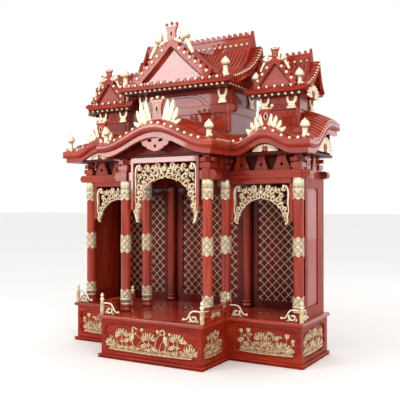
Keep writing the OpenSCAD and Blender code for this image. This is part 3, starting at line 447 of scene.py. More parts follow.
def addScroll(carving, at, centre, radius, start, turn, width, height, depth=0.6, lobes=1, lift=0.0):
    # spiral running inward from the angle start, turn counted in degrees; lobes are leaf tips on its outside
    def onSpiral(t):
        angle = math.radians(start + turn * t)
        return angle, moved(centre, angle, radius * (1 - scrollForm["inward"] * t))

    count = max(scrollForm["fewest"], int(abs(turn) / scrollForm["stepAngle"]))
    path = [onSpiral(i / count)[1] for i in range(count + 1)]
    addLeaf(carving, at, path, width, height, "stem", depth, lift=lift)
    addBall(carving, *(at @ Vector((*path[-1], lift + height * 0.2))), width * 0.62)
    way = math.copysign(1, turn)
    for i in range(lobes):
        t = (i + 0.3) / lobes * scrollForm["lobeSpan"]
        angle, root = onSpiral(t)
        out = angle - way * math.radians(scrollForm["lean"])
        length = radius * (0.85 - 0.3 * t)
        middle = moved(root, out, length * 0.5)
        tip = moved(middle, out + way * math.radians(scrollForm["bend"]), length * 0.5)
        addLeaf(carving, at, curveThrough([root, middle, tip], 3), width * 1.15, height * 0.9, "blade", depth,
                fold=0.3, lift=lift)


def makePiece(name, carving, material, replaced=(), bevel=0.0, sharp=38):
    mesh = bpy.data.meshes.new(name)
    points = [(x * mm, (y + frontLine) * mm, z * mm) for x, y, z in carving["points"]]
    mesh.from_pydata(points, [], carving["faces"])
    return finishPiece(name, mesh, material, replaced, bevel, sharp)


def finishPiece(name, mesh, material, replaced, bevel, sharp):
    form = bmesh.new()
    form.from_mesh(mesh)
    bmesh.ops.recalc_face_normals(form, faces=form.faces)
    form.to_mesh(mesh)
    form.free()
    mesh.materials.clear()
    mesh.materials.append(material)
    mesh.shade_smooth()
    mesh.set_sharp_from_angle(angle=math.radians(sharp))
    piece = bpy.data.objects.new(name, mesh)
    bpy.context.collection.objects.link(piece)
    if bevel:
        edge = piece.modifiers.new("rounded edges", "BEVEL")
        edge.width, edge.segments, edge.limit_method = bevel * mm, 2, "ANGLE"
        edge.angle_limit = math.radians(32)
        edge.harden_normals = True
    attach(piece, "root")
    if replaced:
        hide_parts(*replaced)
    return piece


def softenedCopy(node, material, bevel=0.8, sharp=32):
    # the solid piece with its arrises rubbed round, as sanding and lacquer leave them
    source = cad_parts[node].data
    mesh = bpy.data.meshes.new(node)
    mesh.from_pydata([v.co.copy() for v in source.vertices], [], [tuple(p.vertices) for p in source.polygons])
    form = bmesh.new()
    form.from_mesh(mesh)
    bmesh.ops.remove_doubles(form, verts=form.verts, dist=0.01 * mm)
    bmesh.ops.dissolve_limit(form, angle_limit=math.radians(0.6), verts=form.verts, edges=form.edges)
    form.to_mesh(mesh)
    form.free()
    return finishPiece("visual_" + node, mesh, material, (node,), bevel, sharp)


# Plinth and deck; the profiles hold how far each line grows outward, and its height
plinth = {
    "centreHalf": 179, "projection": 156,
    "deckProfile": [(-8, 114), (-5, 114), (-4.5, 115), (-2, 115.2), (-0.6, 116.2), (0, 118), (0, 121.5),
                    (-0.8, 124), (-2.4, 125.5), (-4.6, 126)],
    "baseProfile": [(-22, 0), (-1, 0), (0, 0.8), (0, 2.4), (-1, 3.3), (-3.4, 3.9), (-3.6, 4.6), (-1.2, 5.2),
                    (0, 6.6), (0.2, 8), (-0.4, 9.6), (-1.8, 10.7), (-4, 11), (-22, 11)],
}


def teeLoop(grow, growBack, z):
    wide, narrow, front = plinthHalf + grow, plinth["centreHalf"] + grow, -plinth["projection"] - grow
    right = [(narrow, front), (narrow, -grow), (wide, -grow), (wide, bodyDepth + growBack)]
    return [(x, y, z) for x, y in right + [(-x, y) for x, y in reversed(right)]]


deck, base = newCarving(), newCarving()
addRings(deck, [teeLoop(grow, 0, z) for grow, z in plinth["deckProfile"]])
makePiece("deck_with_nosing", deck, lacquer["X"], ["deck_board"])
inside = plinth["baseProfile"][0][0]  # the moulding is a ring, open in its middle
addRings(base, [teeLoop(grow, grow if grow == inside else 0, z) for grow, z in plinth["baseProfile"]],
         wrapped=True)
makePiece("base_with_moulding", base, lowLacquer["X"], ["plinth_base_moulding"])
softenedCopy("plinth_boards", lowLacquer["X"], 1.2)
print("plinth built")


# Lotus pond carved in the sunk fields of the plinth
def addFlower(carving, at, centre, wide, tall, lean=0.0):
    # open lotus seen from the side: rows of pointed petals that lean outward and turn their tips up
    c, s = math.cos(math.radians(lean)), math.sin(math.radians(lean))
    for reach, spread, count, rise, lift in ((1.2, 100, 6, -0.3, 0.0), (1.0, 64, 5, 0.05, 1.8),
                                             (0.7, 34, 3, 0.3, 3.6)):
        span = math.sin(math.radians(max(50, spread * 0.72)))
        for i in range(count):
            turn = math.radians(spread * (2 * i / (count - 1) - 1))
            bend = turn * 0.72
            root = (wide * 0.3 * math.sin(turn), tall * (rise - 0.35))
            belly = (wide * reach * 0.82 * math.sin(turn),
                     tall * (rise - 0.3 + 0.55 * reach * math.cos(turn)))
            tip = (wide * reach * math.sin(bend) / span * 0.95, tall * (rise + 0.85 * reach * math.cos(bend)))
            path = [(centre[0] + a * c + b * s, centre[1] - a * s + b * c) for a, b in (root, belly, tip)]
            addLeaf(carving, at, curveThrough(path, 4), wide * 0.34, 3.0, "flame", fold=0.6, lift=lift)


def upward(point, lean, distance):
    # place at a distance from the point, the lean counted from upright toward the right
    return (point[0] + distance * math.sin(lean), point[1] + distance * math.cos(lean))


def addTuft(carving, at, root, size, lean=0.0, blades=3):
    for i in range(blades):
        turn = math.radians(lean + 44 * (i - (blades - 1) / 2))
        middle = upward(root, turn, size * 0.5)
        tip = upward(middle, turn + math.radians(38) * (1 if turn >= 0 else -1), size * 0.5)
        addLeaf(carving, at, curveThrough([root, middle, tip], 3), size * 0.36, 2.0, "flame", fold=0.3,
                lift=0.5 * (i % 2))


def addBud(carving, at, centre, radius, lean=0.0):
    foot = upward(centre, math.radians(lean), -radius)
    for turn, lift in ((-22, 0.0), (22, 0.0), (0, 1.2)):
        tip = upward(foot, math.radians(lean + turn), 2 * radius)
        addLeaf(carving, at, curveThrough([foot, tip], 5), radius * 0.95, 2.4, fold=0.2, lift=lift)


def addLotusLeaf(carving, at, centre, wide, tall, tilt=0.0, flutes=9):
    # round leaf with ribs that fan from its middle and a rolled, wavy rim
    rings, c, s = [], math.cos(tilt), math.sin(tilt)
    for reach, height in ((1.0, -0.5), (1.0, 1.2), (0.9, 2.4), (0.62, 1.7), (0.3, 1.1)):
        ring = []
        for a in steps(0, 2 * math.pi, flutes * 6)[:-1]:
            wave = math.cos(flutes * a)
            r = reach * (1 + 0.08 * wave * (reach > 0.8))
            u, v = wide * r * math.cos(a), tall * r * math.sin(a)
            out = height + (0.8 * wave * reach if height > 0 else 0)
            ring.append(at @ Vector((centre[0] + u * c - v * s, centre[1] + u * s + v * c, out)))
        rings.append(ring)
    addRings(carving, rings, end=at @ Vector((*centre, 2.0)))


def addStem(carving, at, points, width=2.6):
    addLeaf(carving, at, curveThrough(points, 5), width, 1.8, "stem")


def addCrane(carving, at, foot, head, way=1):
    # upright bird: long legs, slim body, feathers folded down its back, short neck and a bill raised forward
    shoulder = (head[0] - 3 * way, head[1] - 15)
    hip = (shoulder[0] - 7 * way, shoulder[1] - 27)
    for step in (0, 4):
        addStem(carving, at, [(foot[0] + step, foot[1]), (hip[0] + 3 * way + step * 0.5, hip[1] + 6)], 2.2)
    back = [(hip[0] - 3 * way, hip[1] - 4), (hip[0] + 5 * way, hip[1] + 12), shoulder]
    addLeaf(carving, at, curveThrough(back, 5), 13, 4.2)
    for i in range(4):
        start = (shoulder[0] - 2 * way, shoulder[1] - 1 - 5 * i)
        bend, end = (start[0] - 7 * way, start[1] - 8), (start[0] - (9 - i) * way, start[1] - 19 + i)
        addLeaf(carving, at, curveThrough([start, bend, end], 4), 5.5, 2.8, "flame", fold=0.5,
                lift=2.2 - 0.4 * i)
    neck = [shoulder, (shoulder[0] - 1 * way, shoulder[1] + 9), head]
    addLeaf(carving, at, curveThrough(neck, 5), 6.5, 3.4, "stem", lift=1)
    bill = [(head[0] - 4 * way, head[1] + 2), (head[0] + 15 * way, head[1] - 7)]
    addLeaf(carving, at, curveThrough(bill, 5), 7, 3.4, "flame", lift=2)


def addPond(carving, at, left, right, level):
    # ledge of ground with rolling curls and small leaf tufts on it
    middle = (left + right) / 2
    bank = curveThrough([(left, level + 1), (middle, level - 1), (right, level + 1)], 12)
    addLeaf(carving, at, bank, 5.5, 2.6, "even")
    ridge = curveThrough([(left + 10, level + 4), (middle, level + 3), (right - 8, level + 4)], 12)
    addLeaf(carving, at, ridge, 3, 3.4, "even")
    count = int((right - left) / 13)
    for i in range(count):
        u = left + (right - left) * (i + 0.5) / count
        if i % 3 == 1:
            addTuft(carving, at, (u, level + 3), 17, 14 * (-1) ** i)
        else:
            start, turn = (200, -280) if i % 2 else (-20, 280)
            addScroll(carving, at, (u, level + 8), 6.5, start, turn, 3.0, 2.4, lobes=2)


# Places along the board and over the foot: ground from, to and level; flowers and buds with size and lean;
# leaves with half width and height; cranes with feet, head and facing; reeds with foot and tip
ponds = {
    "centre": {
        "board": ("front", -143), "ground": (-146, 138, 26),
        "flowers": [(-141, 49, 19, -10), (-99, 79, 20, -4), (-5, 76, 20, 0), (92, 80, 21, 4),
                    (139, 50, 20, 12)],
        "buds": [(-118, 66, 6, -12), (118, 70, 6, 14), (-28, 92, 6, -14), (26, 92, 6, 12), (66, 88, 5, 8)],
        "leaves": [(-82, 58, 13, 8), (-112, 38, 13, 7), (-20, 48, 14, 8), (16, 42, 13, 8), (74, 52, 14, 8),
                   (108, 40, 13, 7), (-62, 38, 11, 7), (60, 34, 12, 6)],
        "cranes": [((-60, 30), (-56, 99), 1), ((48, 31), (46, 99), -1)],
        "reeds": [(-46, 30, -20, 66), (30, 30, 54, 76), (-8, 30, -50, 78), (12, 30, 34, 84),
                  (-88, 30, -74, 74), (86, 30, 76, 70), (-128, 30, -136, 60), (124, 32, 132, 62)],
    },
    "bay": {
        "board": ("front", 13), "ground": (206, 372, 30),
        "flowers": [(276, 78, 20, 0), (343, 56, 19, 6), (262, 54, 16, -10), (298, 58, 17, 10),
                    (306, 85, 12, 30)],
        "buds": [(211, 88, 7, -12), (234, 91, 8, 4), (353, 84, 8, 6), (371, 72, 6, 14), (322, 76, 6, 10)],
        "leaves": [(210, 62, 12, 9), (229, 52, 10, 8), (322, 42, 12, 7), (366, 46, 11, 8), (244, 42, 12, 7)],
        "cranes": [],
        "reeds": [(232, 32, 240, 78), (250, 32, 226, 74), (318, 34, 330, 78), (288, 34, 314, 72),
                  (356, 34, 370, 62)],
    },
    "return": {
        "board": ("side", 166), "ground": (-128, -26, 29),
        "flowers": [(-84, 86, 15, 0), (-112, 60, 15, -12), (-38, 60, 14, 14)],
        "buds": [(-46, 86, 7, 12), (-62, 92, 6, 0), (-104, 82, 6, -10)],
        "leaves": [(-76, 54, 13, 9), (-98, 40, 12, 7), (-54, 42, 12, 8)],
        "cranes": [],
        "reeds": [(-90, 32, -70, 78), (-60, 32, -78, 70), (-44, 32, -58, 74)],
    },
    "flank": {
        "board": ("side", 392), "ground": (28, 198, 29),
        "flowers": [(60, 78, 19, -6), (113, 84, 20, 0), (167, 78, 19, 6), (86, 52, 18, -6), (141, 52, 18, 6)],
        "buds": [(38, 62, 7, -14), (188, 62, 7, 14), (138, 88, 6, 4), (88, 90, 6, -4)],
        "leaves": [(48, 44, 13, 8), (113, 52, 14, 9), (180, 44, 13, 8)],
        "cranes": [],
        "reeds": [(70, 32, 56, 66), (100, 32, 120, 72), (126, 32, 106, 72), (156, 32, 170, 66)],
    },
}
for name, pond in ponds.items():
    relief = newCarving()
    board = facing(*pond["board"])
    left, right, ground = pond["ground"]
    addPond(relief, board, left, right, ground)
    for footU, footV, tipU, tipV in pond["reeds"]:
        bow = (0.7 * footU + 0.3 * tipU, 0.4 * footV + 0.6 * tipV)
        addStem(relief, board, [(footU, footV), bow, (tipU, tipV)], 2.4)
        addTuft(relief, board, (tipU, tipV - 2), 11, math.degrees(math.atan2(tipU - footU, tipV - footV)))
    for u, v, wide, lean in pond["flowers"]:
        halfway = (ground + v) / 2
        addStem(relief, board, [(u - lean * 0.5, ground), (u - lean * 0.3, halfway), (u, v - 4)], 3)
        addTuft(relief, board, (u - lean * 0.4, halfway - 4), 13, lean)
        addFlower(relief, board, (u, v), wide, wide * 0.68, lean)
    for u, v, radius, lean in pond["buds"]:
        addStem(relief, board, [(u - lean, ground), (u - lean * 0.5, (ground + v) / 2), (u, v - radius)], 2.2)
        addBud(relief, board, (u, v), radius, lean)
    for i, (u, v, wide, tall) in enumerate(pond["leaves"]):
        addStem(relief, board, [(u + 4, ground), (u + 2, (ground + v) / 2), (u, v)], 2.2)
        addLotusLeaf(relief, board, (u, v), wide, tall * 0.75, 0.35 * (-1) ** i)
    for foot, head, way in pond["cranes"]:
        addCrane(relief, board, foot, head, way)
    if name != "centre":
        addMirror(relief)
    makePiece("lotus_relief_" + name, relief, reliefGold, sharp=60)
print("plinth carvings done")

# Rail round the deck
rail = {
    "posts": [(397, 10, 60), (171, -144, 64)],                                    # x, y and height
    "postProfile": [(0, 0), (5.6, 0), (5.6, 0.04), (4.9, 0.055), (4.9, 0.53), (5.6, 0.545), (5.6, 0.57),
                    (3.8, 0.6), (4.4, 0.625), (6, 0.665), (6.1, 0.715), (5, 0.755), (2.8, 0.79), (3, 0.805),
                    (4.6, 0.83), (5.2, 0.87), (4.4, 0.92), (2.3, 0.96), (0.9, 0.985), (0, 1)],
    "shaft": {"radius": 5.5, "flute": 0.5, "flutes": 10, "foot": 4, "head": 0.52},     # head: share of height
    "knob": [(0, 0), (4.6, 0.4), (3, 3), (5.4, 7), (5.6, 9), (4.6, 12), (2.4, 14), (4, 16.5), (4.3, 18.5),
             (3.2, 21), (1.2, 23), (0, 24)],
    "knobSeat": (171, 10, 45),
    "arm": [(0, 33), (12, 34), (24, 33), (32, 28), (38, 18), (44, 10), (54, 9)],
    "arms": [("front", -144, 166, -1, 1.0), ("front", 10, 392, -1, 1.0), ("front", 10, 176, 1, 1.0),
             ("side", 397, 15, 1, 0.74)],                                         # board, start, way, reach
    "tuft": {"level": 173, "middle": -70},
}
posts, shafts, arms = newCarving(), newCarving(), newCarving()
shaft = rail["shaft"]
for x, y, height in rail["posts"]:
    addTurning(posts, x, y, [(r, deckTop + height * t) for r, t in rail["postProfile"]], 24)
    flutes = []
    for turn in steps(0, 2 * math.pi, 60)[:-1]:
        radius = shaft["radius"] + shaft["flute"] * math.cos(turn * shaft["flutes"])
        flutes.append(moved((x, y), turn, radius))
    addRings(shafts, [[(u, v, z) for u, v in flutes]
                      for z in (deckTop + shaft["foot"], deckTop + height * shaft["head"])])
x, y, foot = rail["knobSeat"]
addTurning(posts, x, y, [(r, deckTop + foot + z) for r, z in rail["knob"]], 20)
addMirror(posts)
makePiece("turned_rail_posts", posts, gold, ["deck_rail_posts"])
addMirror(shafts)
makePiece("fluted_post_shafts", shafts, reliefGold, sharp=70)
for direction, level, start, way, reach in rail["arms"]:
    board = facing(direction, level)
    bar = [(start + way * u * reach, deckTop + v) for u, v in curveThrough(rail["arm"], 4)]
    normal = board.to_3x3() @ Vector((0, 0, 1))
    addTube(arms, [board @ Vector((u, v, 0)) for u, v in bar], lambda t: 2.4 - 0.5 * t, 10, normal)
    addBall(arms, *(board @ Vector((*bar[-1], 0))), 3.8)
    heart = (start + way * 21 * reach, deckTop + 14)
    turn = -330 if way > 0 else 330
    addScroll(arms, board, heart, 12 * min(1, reach + 0.12), 90 - 60 * way, turn, 5, 3.2, 3, lobes=2,
              lift=0.4)
    for u, size, lean in ((8, 12, 30), (29, 12, 40)):
        addTuft(arms, board, (start + way * u * reach, deckTop + 1), size, lean * way, 2)
addMirror(arms)
makePiece("carved_rail_arms", arms, gold, ["deck_scroll_arms"], sharp=60)
softenedCopy("deck_return_rails", lacquer["Y"], 0.7)
tuft = newCarving()
board, middle = facing("side", rail["tuft"]["level"]), rail["tuft"]["middle"]
for way in (1, -1):
    addScroll(tuft, board, (middle + way * 9, deckTop + 16), 7, 180 if way < 0 else 0, way * 300, 3.4, 2.8,
              lobes=2)
    addTuft(tuft, board, (middle + way * 13, deckTop + 15), 15, 80 * way)
addFlower(tuft, board, (middle, deckTop + 18), 9, 7)
addMirror(tuft)
makePiece("rail_leaf_tufts", tuft, warmGold, sharp=60)
print("deck rail built")


# Columns and their gilded sleeves
columnFoot = [(0, 0), (15.6, 0), (16.4, 0.6), (18.3, 3.6), (18.6, 6.5), (18.2, 9.2), (15.7, 12.6), (15.4, 14),
              (15.6, 15.4), (16.8, 17.2), (17, 18.6), (16.4, 20.6), (14.8, 22.5)]
# the back columns take the lacquer with painted shade of the niche
for node, material, places in (
        ("centre_front_columns", lacquer["Z"], [("inner", "front", headBottom)]),
        ("side_bay_columns", lacquer["Z"], [("inner", "side", beamMid), ("outer", "side", beamMid)]),
        ("back_columns", shadedLacquer["Z"], [("inner", "back", beamBottom)])):
    shafts, radius = newCarving(), columns["radius"]
    for x, y, top in places:
        profile = [(r, deckTop + z) for r, z in columnFoot]
        profile += [(radius, deckTop + 23), (radius, top), (0, top)]
        addTurning(shafts, columns[x], columns[y], profile, 48)
    addMirror(shafts)
    makePiece("turned_" + node, shafts, material, [node])

sleeve = {
    "foot": 148.6, "middle": 304, "top": beamMid - 63,
    # start and end over those levels, and how far the band stands out
    "bands": [("foot", 0, 1.6, 1.8), ("foot", 13.3, 16.8, 2.8), ("top", 27.8, 29.8, 1.8),
              ("top", 41.8, 43.6, 2.1)],
    "neck": {"start": 43.4, "top": 2, "stand": 1.5}, # plain; its top and the bead's are below the column's
    "bead": {"height": 2.2, "top": 0.3, "stand": 2.1},
    # start and end, points cut into foot and head, lozenges round the column
    "carved": [("foot", 1.5, 13.5, (0, 0), 16), ("foot", 16.6, 46.5, (0, 1), 5), ("middle", 0, 57, (1, 1), 5),
               ("top", 0, 28, (1, 0), 5), ("top", 29.6, 42, (0, 0), 8)],
    "raised": {"most": 8, "parts": 16, "row": 1.2},  # points across one lozenge, and mm from row to row
    "net": {"parts": 6},              # nets with more lozenges than that are flat lines
    "stand": 0.2,                     # mm of wood left under the carving
    "ground": 0.65,                   # level of the ground between the lines, dark as painted shade
    "line": 1.2,                      # height of the net's lines
    "floret": 1.5,
    "tip": 7,                         # depth of the pointed ends
}


def diamond(s, v):
    # distances in a net of lozenges: to the nearest line, then round and square from the lozenge's middle
    p, q = (s + v + 0.5) % 1 - 0.5, (s - v + 0.5) % 1 - 0.5
    return 0.5 - max(abs(p), abs(q)), math.hypot(p, q), max(abs(p), abs(q))


def addSleeve(carving, ground, x, y, low, high, tips, lozenges):
    # tips says for the foot and the head whether that end is cut into points; ground gets the layer below
    raised = lozenges <= sleeve["raised"]["most"]
    pitch = 2 * math.pi * columns["radius"] / lozenges
    facets = lozenges * sleeve["raised" if raised else "net"]["parts"]
    row = sleeve["raised"]["row"] if raised else pitch / sleeve["net"]["parts"]
    rows = max(3, int((high - low) / row))
    middle, offset = (low + high) / 2, 0.5 if sum(tips) == 1 else 0
    rings, smooth = [], []
    for i in range(-1, rows + 2):
        t = min(1, max(0, i / rows))
        inside = i < 0 or i > rows
        ring, under = [], []
        for k, (c, s) in enumerate(circlePoints(facets)):
            share = k * lozenges / facets
            cut = sleeve["tip"] * (1 - abs(1 - 2 * (share % 1)))
            z = low + tips[0] * cut + (high - low - (tips[0] + tips[1]) * cut) * t
            line, heart, square = diamond(share, (z - middle) / pitch + offset)
            relief = sleeve["line"] * max(0, 1 - line / 0.09) ** 0.5
            if raised:                # with a groove round the heart of each lozenge
                relief = sleeve["line"] * min(1, max(0, line - 0.05) / 0.05,
                                              max(0, abs(square - 0.25) - 0.02) / 0.03)
                relief = max(relief, sleeve["floret"] * max(0, 1 - (heart / 0.2) ** 2))
            if min(i, rows - i) < 1.5:
                relief = sleeve["line"]
            r = columns["radius"] + (-0.6 if inside else sleeve["stand"] + relief)
            ring.append((x + r * c, y + r * s, z))
            r = columns["radius"] + (-0.7 if inside else sleeve["ground"])
            under.append((x + r * c, y + r * s, z + (0.4 if t == 0 else -0.4 if t == 1 else 0)))
        rings.append(ring)
        if i % 3 == 0 or i < 0 or i >= rows:
            smooth.append(under)
    addRings(carving, rings, wrapped=True)
    addRings(ground, smooth, wrapped=True)


def addBand(carving, x, y, low, high, stand):
    radius = columns["radius"]
    profile = [(radius - 0.6, low), (radius + stand * 0.6, low), (radius + stand, low + 0.5),
               (radius + stand, high - 0.5), (radius + stand * 0.6, high), (radius - 0.6, high)]
    addRings(carving, [[(x + r * c, y + r * s, z) for c, s in circlePoints(48)] for r, z in profile],
             wrapped=True)


sleeves, ground = {"foot": newCarving(), "middle": newCarving(), "top": newCarving()}, newCarving()
for x, y, top in (("inner", "front", headBottom), ("inner", "side", beamMid), ("outer", "side", beamMid)):
    x, y = columns[x], columns[y]
    for name, low, high, stand in sleeve["bands"]:
        addBand(sleeves[name], x, y, sleeve[name] + low, sleeve[name] + high, stand)
    neck, bead = sleeve["neck"], sleeve["bead"]
    addBand(sleeves["top"], x, y, sleeve["top"] + neck["start"], top - neck["top"], neck["stand"])
    addBand(sleeves["top"], x, y, top - bead["height"], top - bead["top"], bead["stand"])
    for name, low, high, tips, lozenges in sleeve["carved"]:
        addSleeve(sleeves[name], ground, x, y, sleeve[name] + low, sleeve[name] + high, tips, lozenges)
for name, carving in sleeves.items():
    addMirror(carving)
    makePiece("gilded_" + name + "_sleeves", carving, gold, ["column_" + name + "_sleeves"], sharp=70)
addMirror(ground)
makePiece("glazed_sleeve_grounds", ground, shadeGroundGold, sharp=70)
print("columns and sleeves done")

# Walls, with gilt lattice on the back
# the back wall frame and the lattice panels take lacquers with painted shade of the niche
for node, material, bevel in (("side_wall_frames", lowLacquer["Z"], 0.8),
                              ("side_wall_panels", lacquer["Z"], 0.8),
                              ("back_wall_frame", nicheLacquer, 0.8), ("lattice_panels", innerLacquer, 0.4)):
    softenedCopy(node, material, bevel)

lattice = {
    "diagonal": 27.5,                 # mm from bar to bar along the panel
    "bar": 1.2, "stand": 0.9,
    "sunk": 0.2,                      # into the panel
    "inset": 1,
    "centreEdge": 41.5, "sideEdges": (34.5, 19),     # mm from the axes of the columns beside a panel
}


def addLattice(carving, x0, x1, z0, z1, front):
    # bars at 45 degrees, each cut to the panel
    wide, tall = x1 - x0, z1 - z0
    half = lattice["bar"] / 2 * 0.7071
    for way in (1, -1):
        for i in range(1, int((wide + tall) / lattice["diagonal"]) + 2):
            reach = i * lattice["diagonal"] - lattice["diagonal"] / 2
            ends = sorted([max(0, reach - tall), min(wide, reach)])
            if ends[1] - ends[0] < 3 or ends[0] > wide:
                continue
            (xa, za), (xb, zb) = [(x0 + u if way == 1 else x1 - u, z0 + reach - u) for u in ends]
            step = half * way
            loop = [(xa + step, za + half), (xb + step, zb + half),
                    (xb - step, zb - half), (xa - step, za - half)]
            addRings(carving, [[(x, y, z) for x, z in loop] for y in (front, front - lattice["stand"])])


net = newCarving()
(_, panelFace, panelFoot), (_, _, panelHead) = corner("lattice_panels")
centreEdge = columns["inner"] - lattice["centreEdge"]
bayEdges = [columns["inner"] + lattice["sideEdges"][0], columns["outer"] - lattice["sideEdges"][1]]
for x0, x1 in ((-centreEdge, centreEdge), bayEdges, [-x for x in reversed(bayEdges)]):
    addLattice(net, x0, x1, panelFoot + lattice["inset"], panelHead - lattice["inset"],
               panelFace + lattice["sunk"])
makePiece("gilt_lattice", net, lineGold)
print("walls and lattice done")


# Beams and the frieze under the eaves
# the soffit board takes the dark lacquer as painted shadow under the eaves; the head beams and the tympanum
# take lacquers with painted shade
for node, material in (("head_beams", shadedLacquer["X"]), ("bearing_blocks", lacquer["Z"]),
                       ("frieze_struts", lacquer["Z"]), ("centre_hanging_frame", panelLacquer),
                       ("soffit_board", darkAndShadowLacquer["X"]), ("tympanum_board", innerLacquer),
                       ("gable_pendant", boardLacquer), ("rear_closing_boards", lacquer["X"])):
    softenedCopy(node, material)
friezeShadowBoard = {"inset": 14, "depth": 8, "thick": 2}    # dark boards in the gaps between the struts: painted shadow of the hollow behind them
friezeShadow, depth = newCarving(), columns["side"] + friezeShadowBoard["depth"]
addBox(friezeShadow, (columns["inner"] + friezeShadowBoard["inset"], depth, beamTop - 3),
       (columns["outer"] - friezeShadowBoard["inset"], depth + friezeShadowBoard["thick"], eavesZ - 4))
addMirror(friezeShadow)
makePiece("painted_shadow_frieze_backs", friezeShadow, darkAndShadowLacquer["X"])
print("beams done")


# Openwork leaf boards in the front openings: a running scroll of leaves between a thin rim and a row of
# spires. Places are counted from the middle of the opening.
centreValance = {
    "axis": 0, "share": 1, "crown": 559, "jewel": 9.5,
    "spires": [(0, 576, 11), (31, 575, 9), (61, 574, 8), (91, 576, 10)],          # place, top, width
    "rim": [(0, 536), (31, 527), (49, 522), (63, 511), (82, 494), (92, 472), (97, 446), (101, 420),
            (98, 404)],
    "runners": [[(10, 545), (28, 541), (52, 536), (72, 522), (88, 500), (97, 472), (101, 440), (103, 414)],
                [(16, 562), (40, 560), (64, 556), (84, 544), (98, 520)]],
    "reach": 12, "pitch": 18,
    "shoulder": [(93, 570), (101, 566), (106, 552), (107, 530), (105.5, 508), (107, 486), (108, 466)],
    "tip": [(108, 470), (104, 448), (107, 426), (101, 403), (93, 399)],
}
sideValance = {
    "axis": bayAxis, "share": 0.92,   # of the bay's width, the rest being the strips beside it
    "crown": 488, "jewel": 7.5,
    "spires": [(0, 510, 10), (26, 506, 8), (50, 504, 8), (76, 510, 9)],
    "rim": [(0, 472), (20, 467), (38, 461), (58, 448), (70, 434), (78, 420), (82, 408), (84, 401)],
    "runners": [[(8, 481), (26, 477), (46, 470), (64, 457), (76, 441), (84, 422), (87, 408)],
                [(14, 497), (36, 494), (58, 488), (76, 474)]],
    "reach": 10, "pitch": 15.5,
    "shoulder": [(79, 505), (87, 502), (92.5, 490), (93, 474), (91.5, 458), (93, 442), (94, 428)],
    "tip": [(94, 432), (89, 418), (91, 406), (85, 397), (79, 396)],
}
valanceDepth = 3.2                    # mm that the carving reaches back from its front
bayStrip = {"middle": 93.6, "width": 10.8, "foot": 404, "head": 513, "front": -4, "back": 6}


def addRunner(carving, at, path, reach, pitch, phase):
    # scrolls that bud from a stem, alternately to its left and its right, each with leaf tips on its back
    line = curveThrough(path, 5)
    addLeaf(carving, at, line, 4.8, 2.6, "even", valanceDepth)
    places = alongLine(line, pitch, 0.3 + 0.4 * phase)
    for i, place in enumerate(places):
        after, before = places[min(i + 1, len(places) - 1)], places[max(i - 1, 0)]
        heading = math.atan2(after[1] - before[1], after[0] - before[0])
        side = 1 if (i + phase) % 2 else -1
        normal = heading + side * math.pi / 2
        size = reach * (1 if i < len(places) - 2 else 0.72)
        addScroll(carving, at, moved(place, normal, 0.62 * size), size, math.degrees(normal) + 180,
                  -side * 260, 6.2, 3.6, valanceDepth, 1, 0.9)
        out = normal + math.pi - side * 0.7
        middle = moved(place, out, 0.5 * size)
        tip = moved(middle, out + side * 0.9, 0.55 * size)
        addLeaf(carving, at, curveThrough([place, middle, tip], 3), size * 0.76, 3.4, "flame", valanceDepth,
                fold=0.5, lift=0.5)


def addValance(carving, at, design):
    half, axis, share = newCarving(), design["axis"], design["share"]

    def placed(path):
        return [(axis + u * share, v) for u, v in path]

    addLeaf(half, at, curveThrough(placed(design["rim"]), 5), 3.8, 3.4, "even", 3.4)
    for phase, path in enumerate(design["runners"]):
        addRunner(half, at, placed(path), design["reach"], design["pitch"], phase)
    for key, width, height, form, lift in (("shoulder", 7, 4, "strap", 1.2), ("tip", 9.5, 3.8, "blade", 0.8)):
        path = curveThrough(placed(design[key]), 4)
        addLeaf(half, at, path, width, height, form, valanceDepth, fold=0.3, lift=lift)
    for u, v in alongLine(curveThrough(placed(design["rim"]), 5), 24)[1:]:
        addTuft(half, at, (u + 1, v), 9, 120 + (u - axis) * 0.6, 1)
    for u, top, width in design["spires"][1:]:
        addSpire(half, at, axis + u * share, top, width)
    joinHalf(carving, half, axis)
    addSpire(carving, at, axis, *design["spires"][0][1:])
    addBall(carving, *(at @ Vector((axis, design["crown"], 3.4))), design["jewel"])
    for turn in (-110, -70, 70, 110):
        tilt = math.radians(turn)
        foot = (axis + 5 * math.sin(tilt), design["crown"] - 4)
        tip = (axis + 21 * math.sin(tilt), design["crown"] + 15 * math.cos(tilt))
        belly = ((foot[0] + tip[0]) / 2, (foot[1] + tip[1]) / 2 - 4)
        addLeaf(carving, at, curveThrough([foot, belly, tip], 4), 7, 3.6, "flame", valanceDepth, fold=0.35,
                lift=1.6)


def addSpire(carving, at, u, top, width):
    # upright flame between two small leaves
    foot = (u, top - 2.3 * width)
    addLeaf(carving, at, curveThrough([foot, (u, top)], 8), width * 0.85, 3.6, "flame", valanceDepth,
            fold=0.3, lift=1.4)
    for way in (1, -1):
        middle = (u + way * width * 0.55, foot[1] + 0.45 * width)
        tip = (u + way * width * 0.75, foot[1] + 1.35 * width)
        addLeaf(carving, at, curveThrough([foot, middle, tip], 4), width * 0.5, 3.2, "flame", valanceDepth,
                fold=0.3, lift=0.7)


valance, sideValances, strips = newCarving(), newCarving(), newCarving()
addValance(valance, facing("front", columns["front"]), centreValance)
makePiece("openwork_centre_valance", valance, warmGold, ["centre_valance"], sharp=60)
addValance(sideValances, facing("front", columns["side"]), sideValance)
addMirror(sideValances)
makePiece("openwork_side_valances", sideValances, warmGold, ["side_valances"], sharp=60)
for way in (-1, 1):
    middle = bayAxis + way * bayStrip["middle"]
    addBox(strips, (middle - bayStrip["width"] / 2, columns["side"] + bayStrip["front"], bayStrip["foot"]),
           (middle + bayStrip["width"] / 2, columns["side"] + bayStrip["back"], bayStrip["head"]))
addMirror(strips)
makePiece("side_bay_strips", strips, lacquer["Z"], bevel=0.8)
print("valances carved")


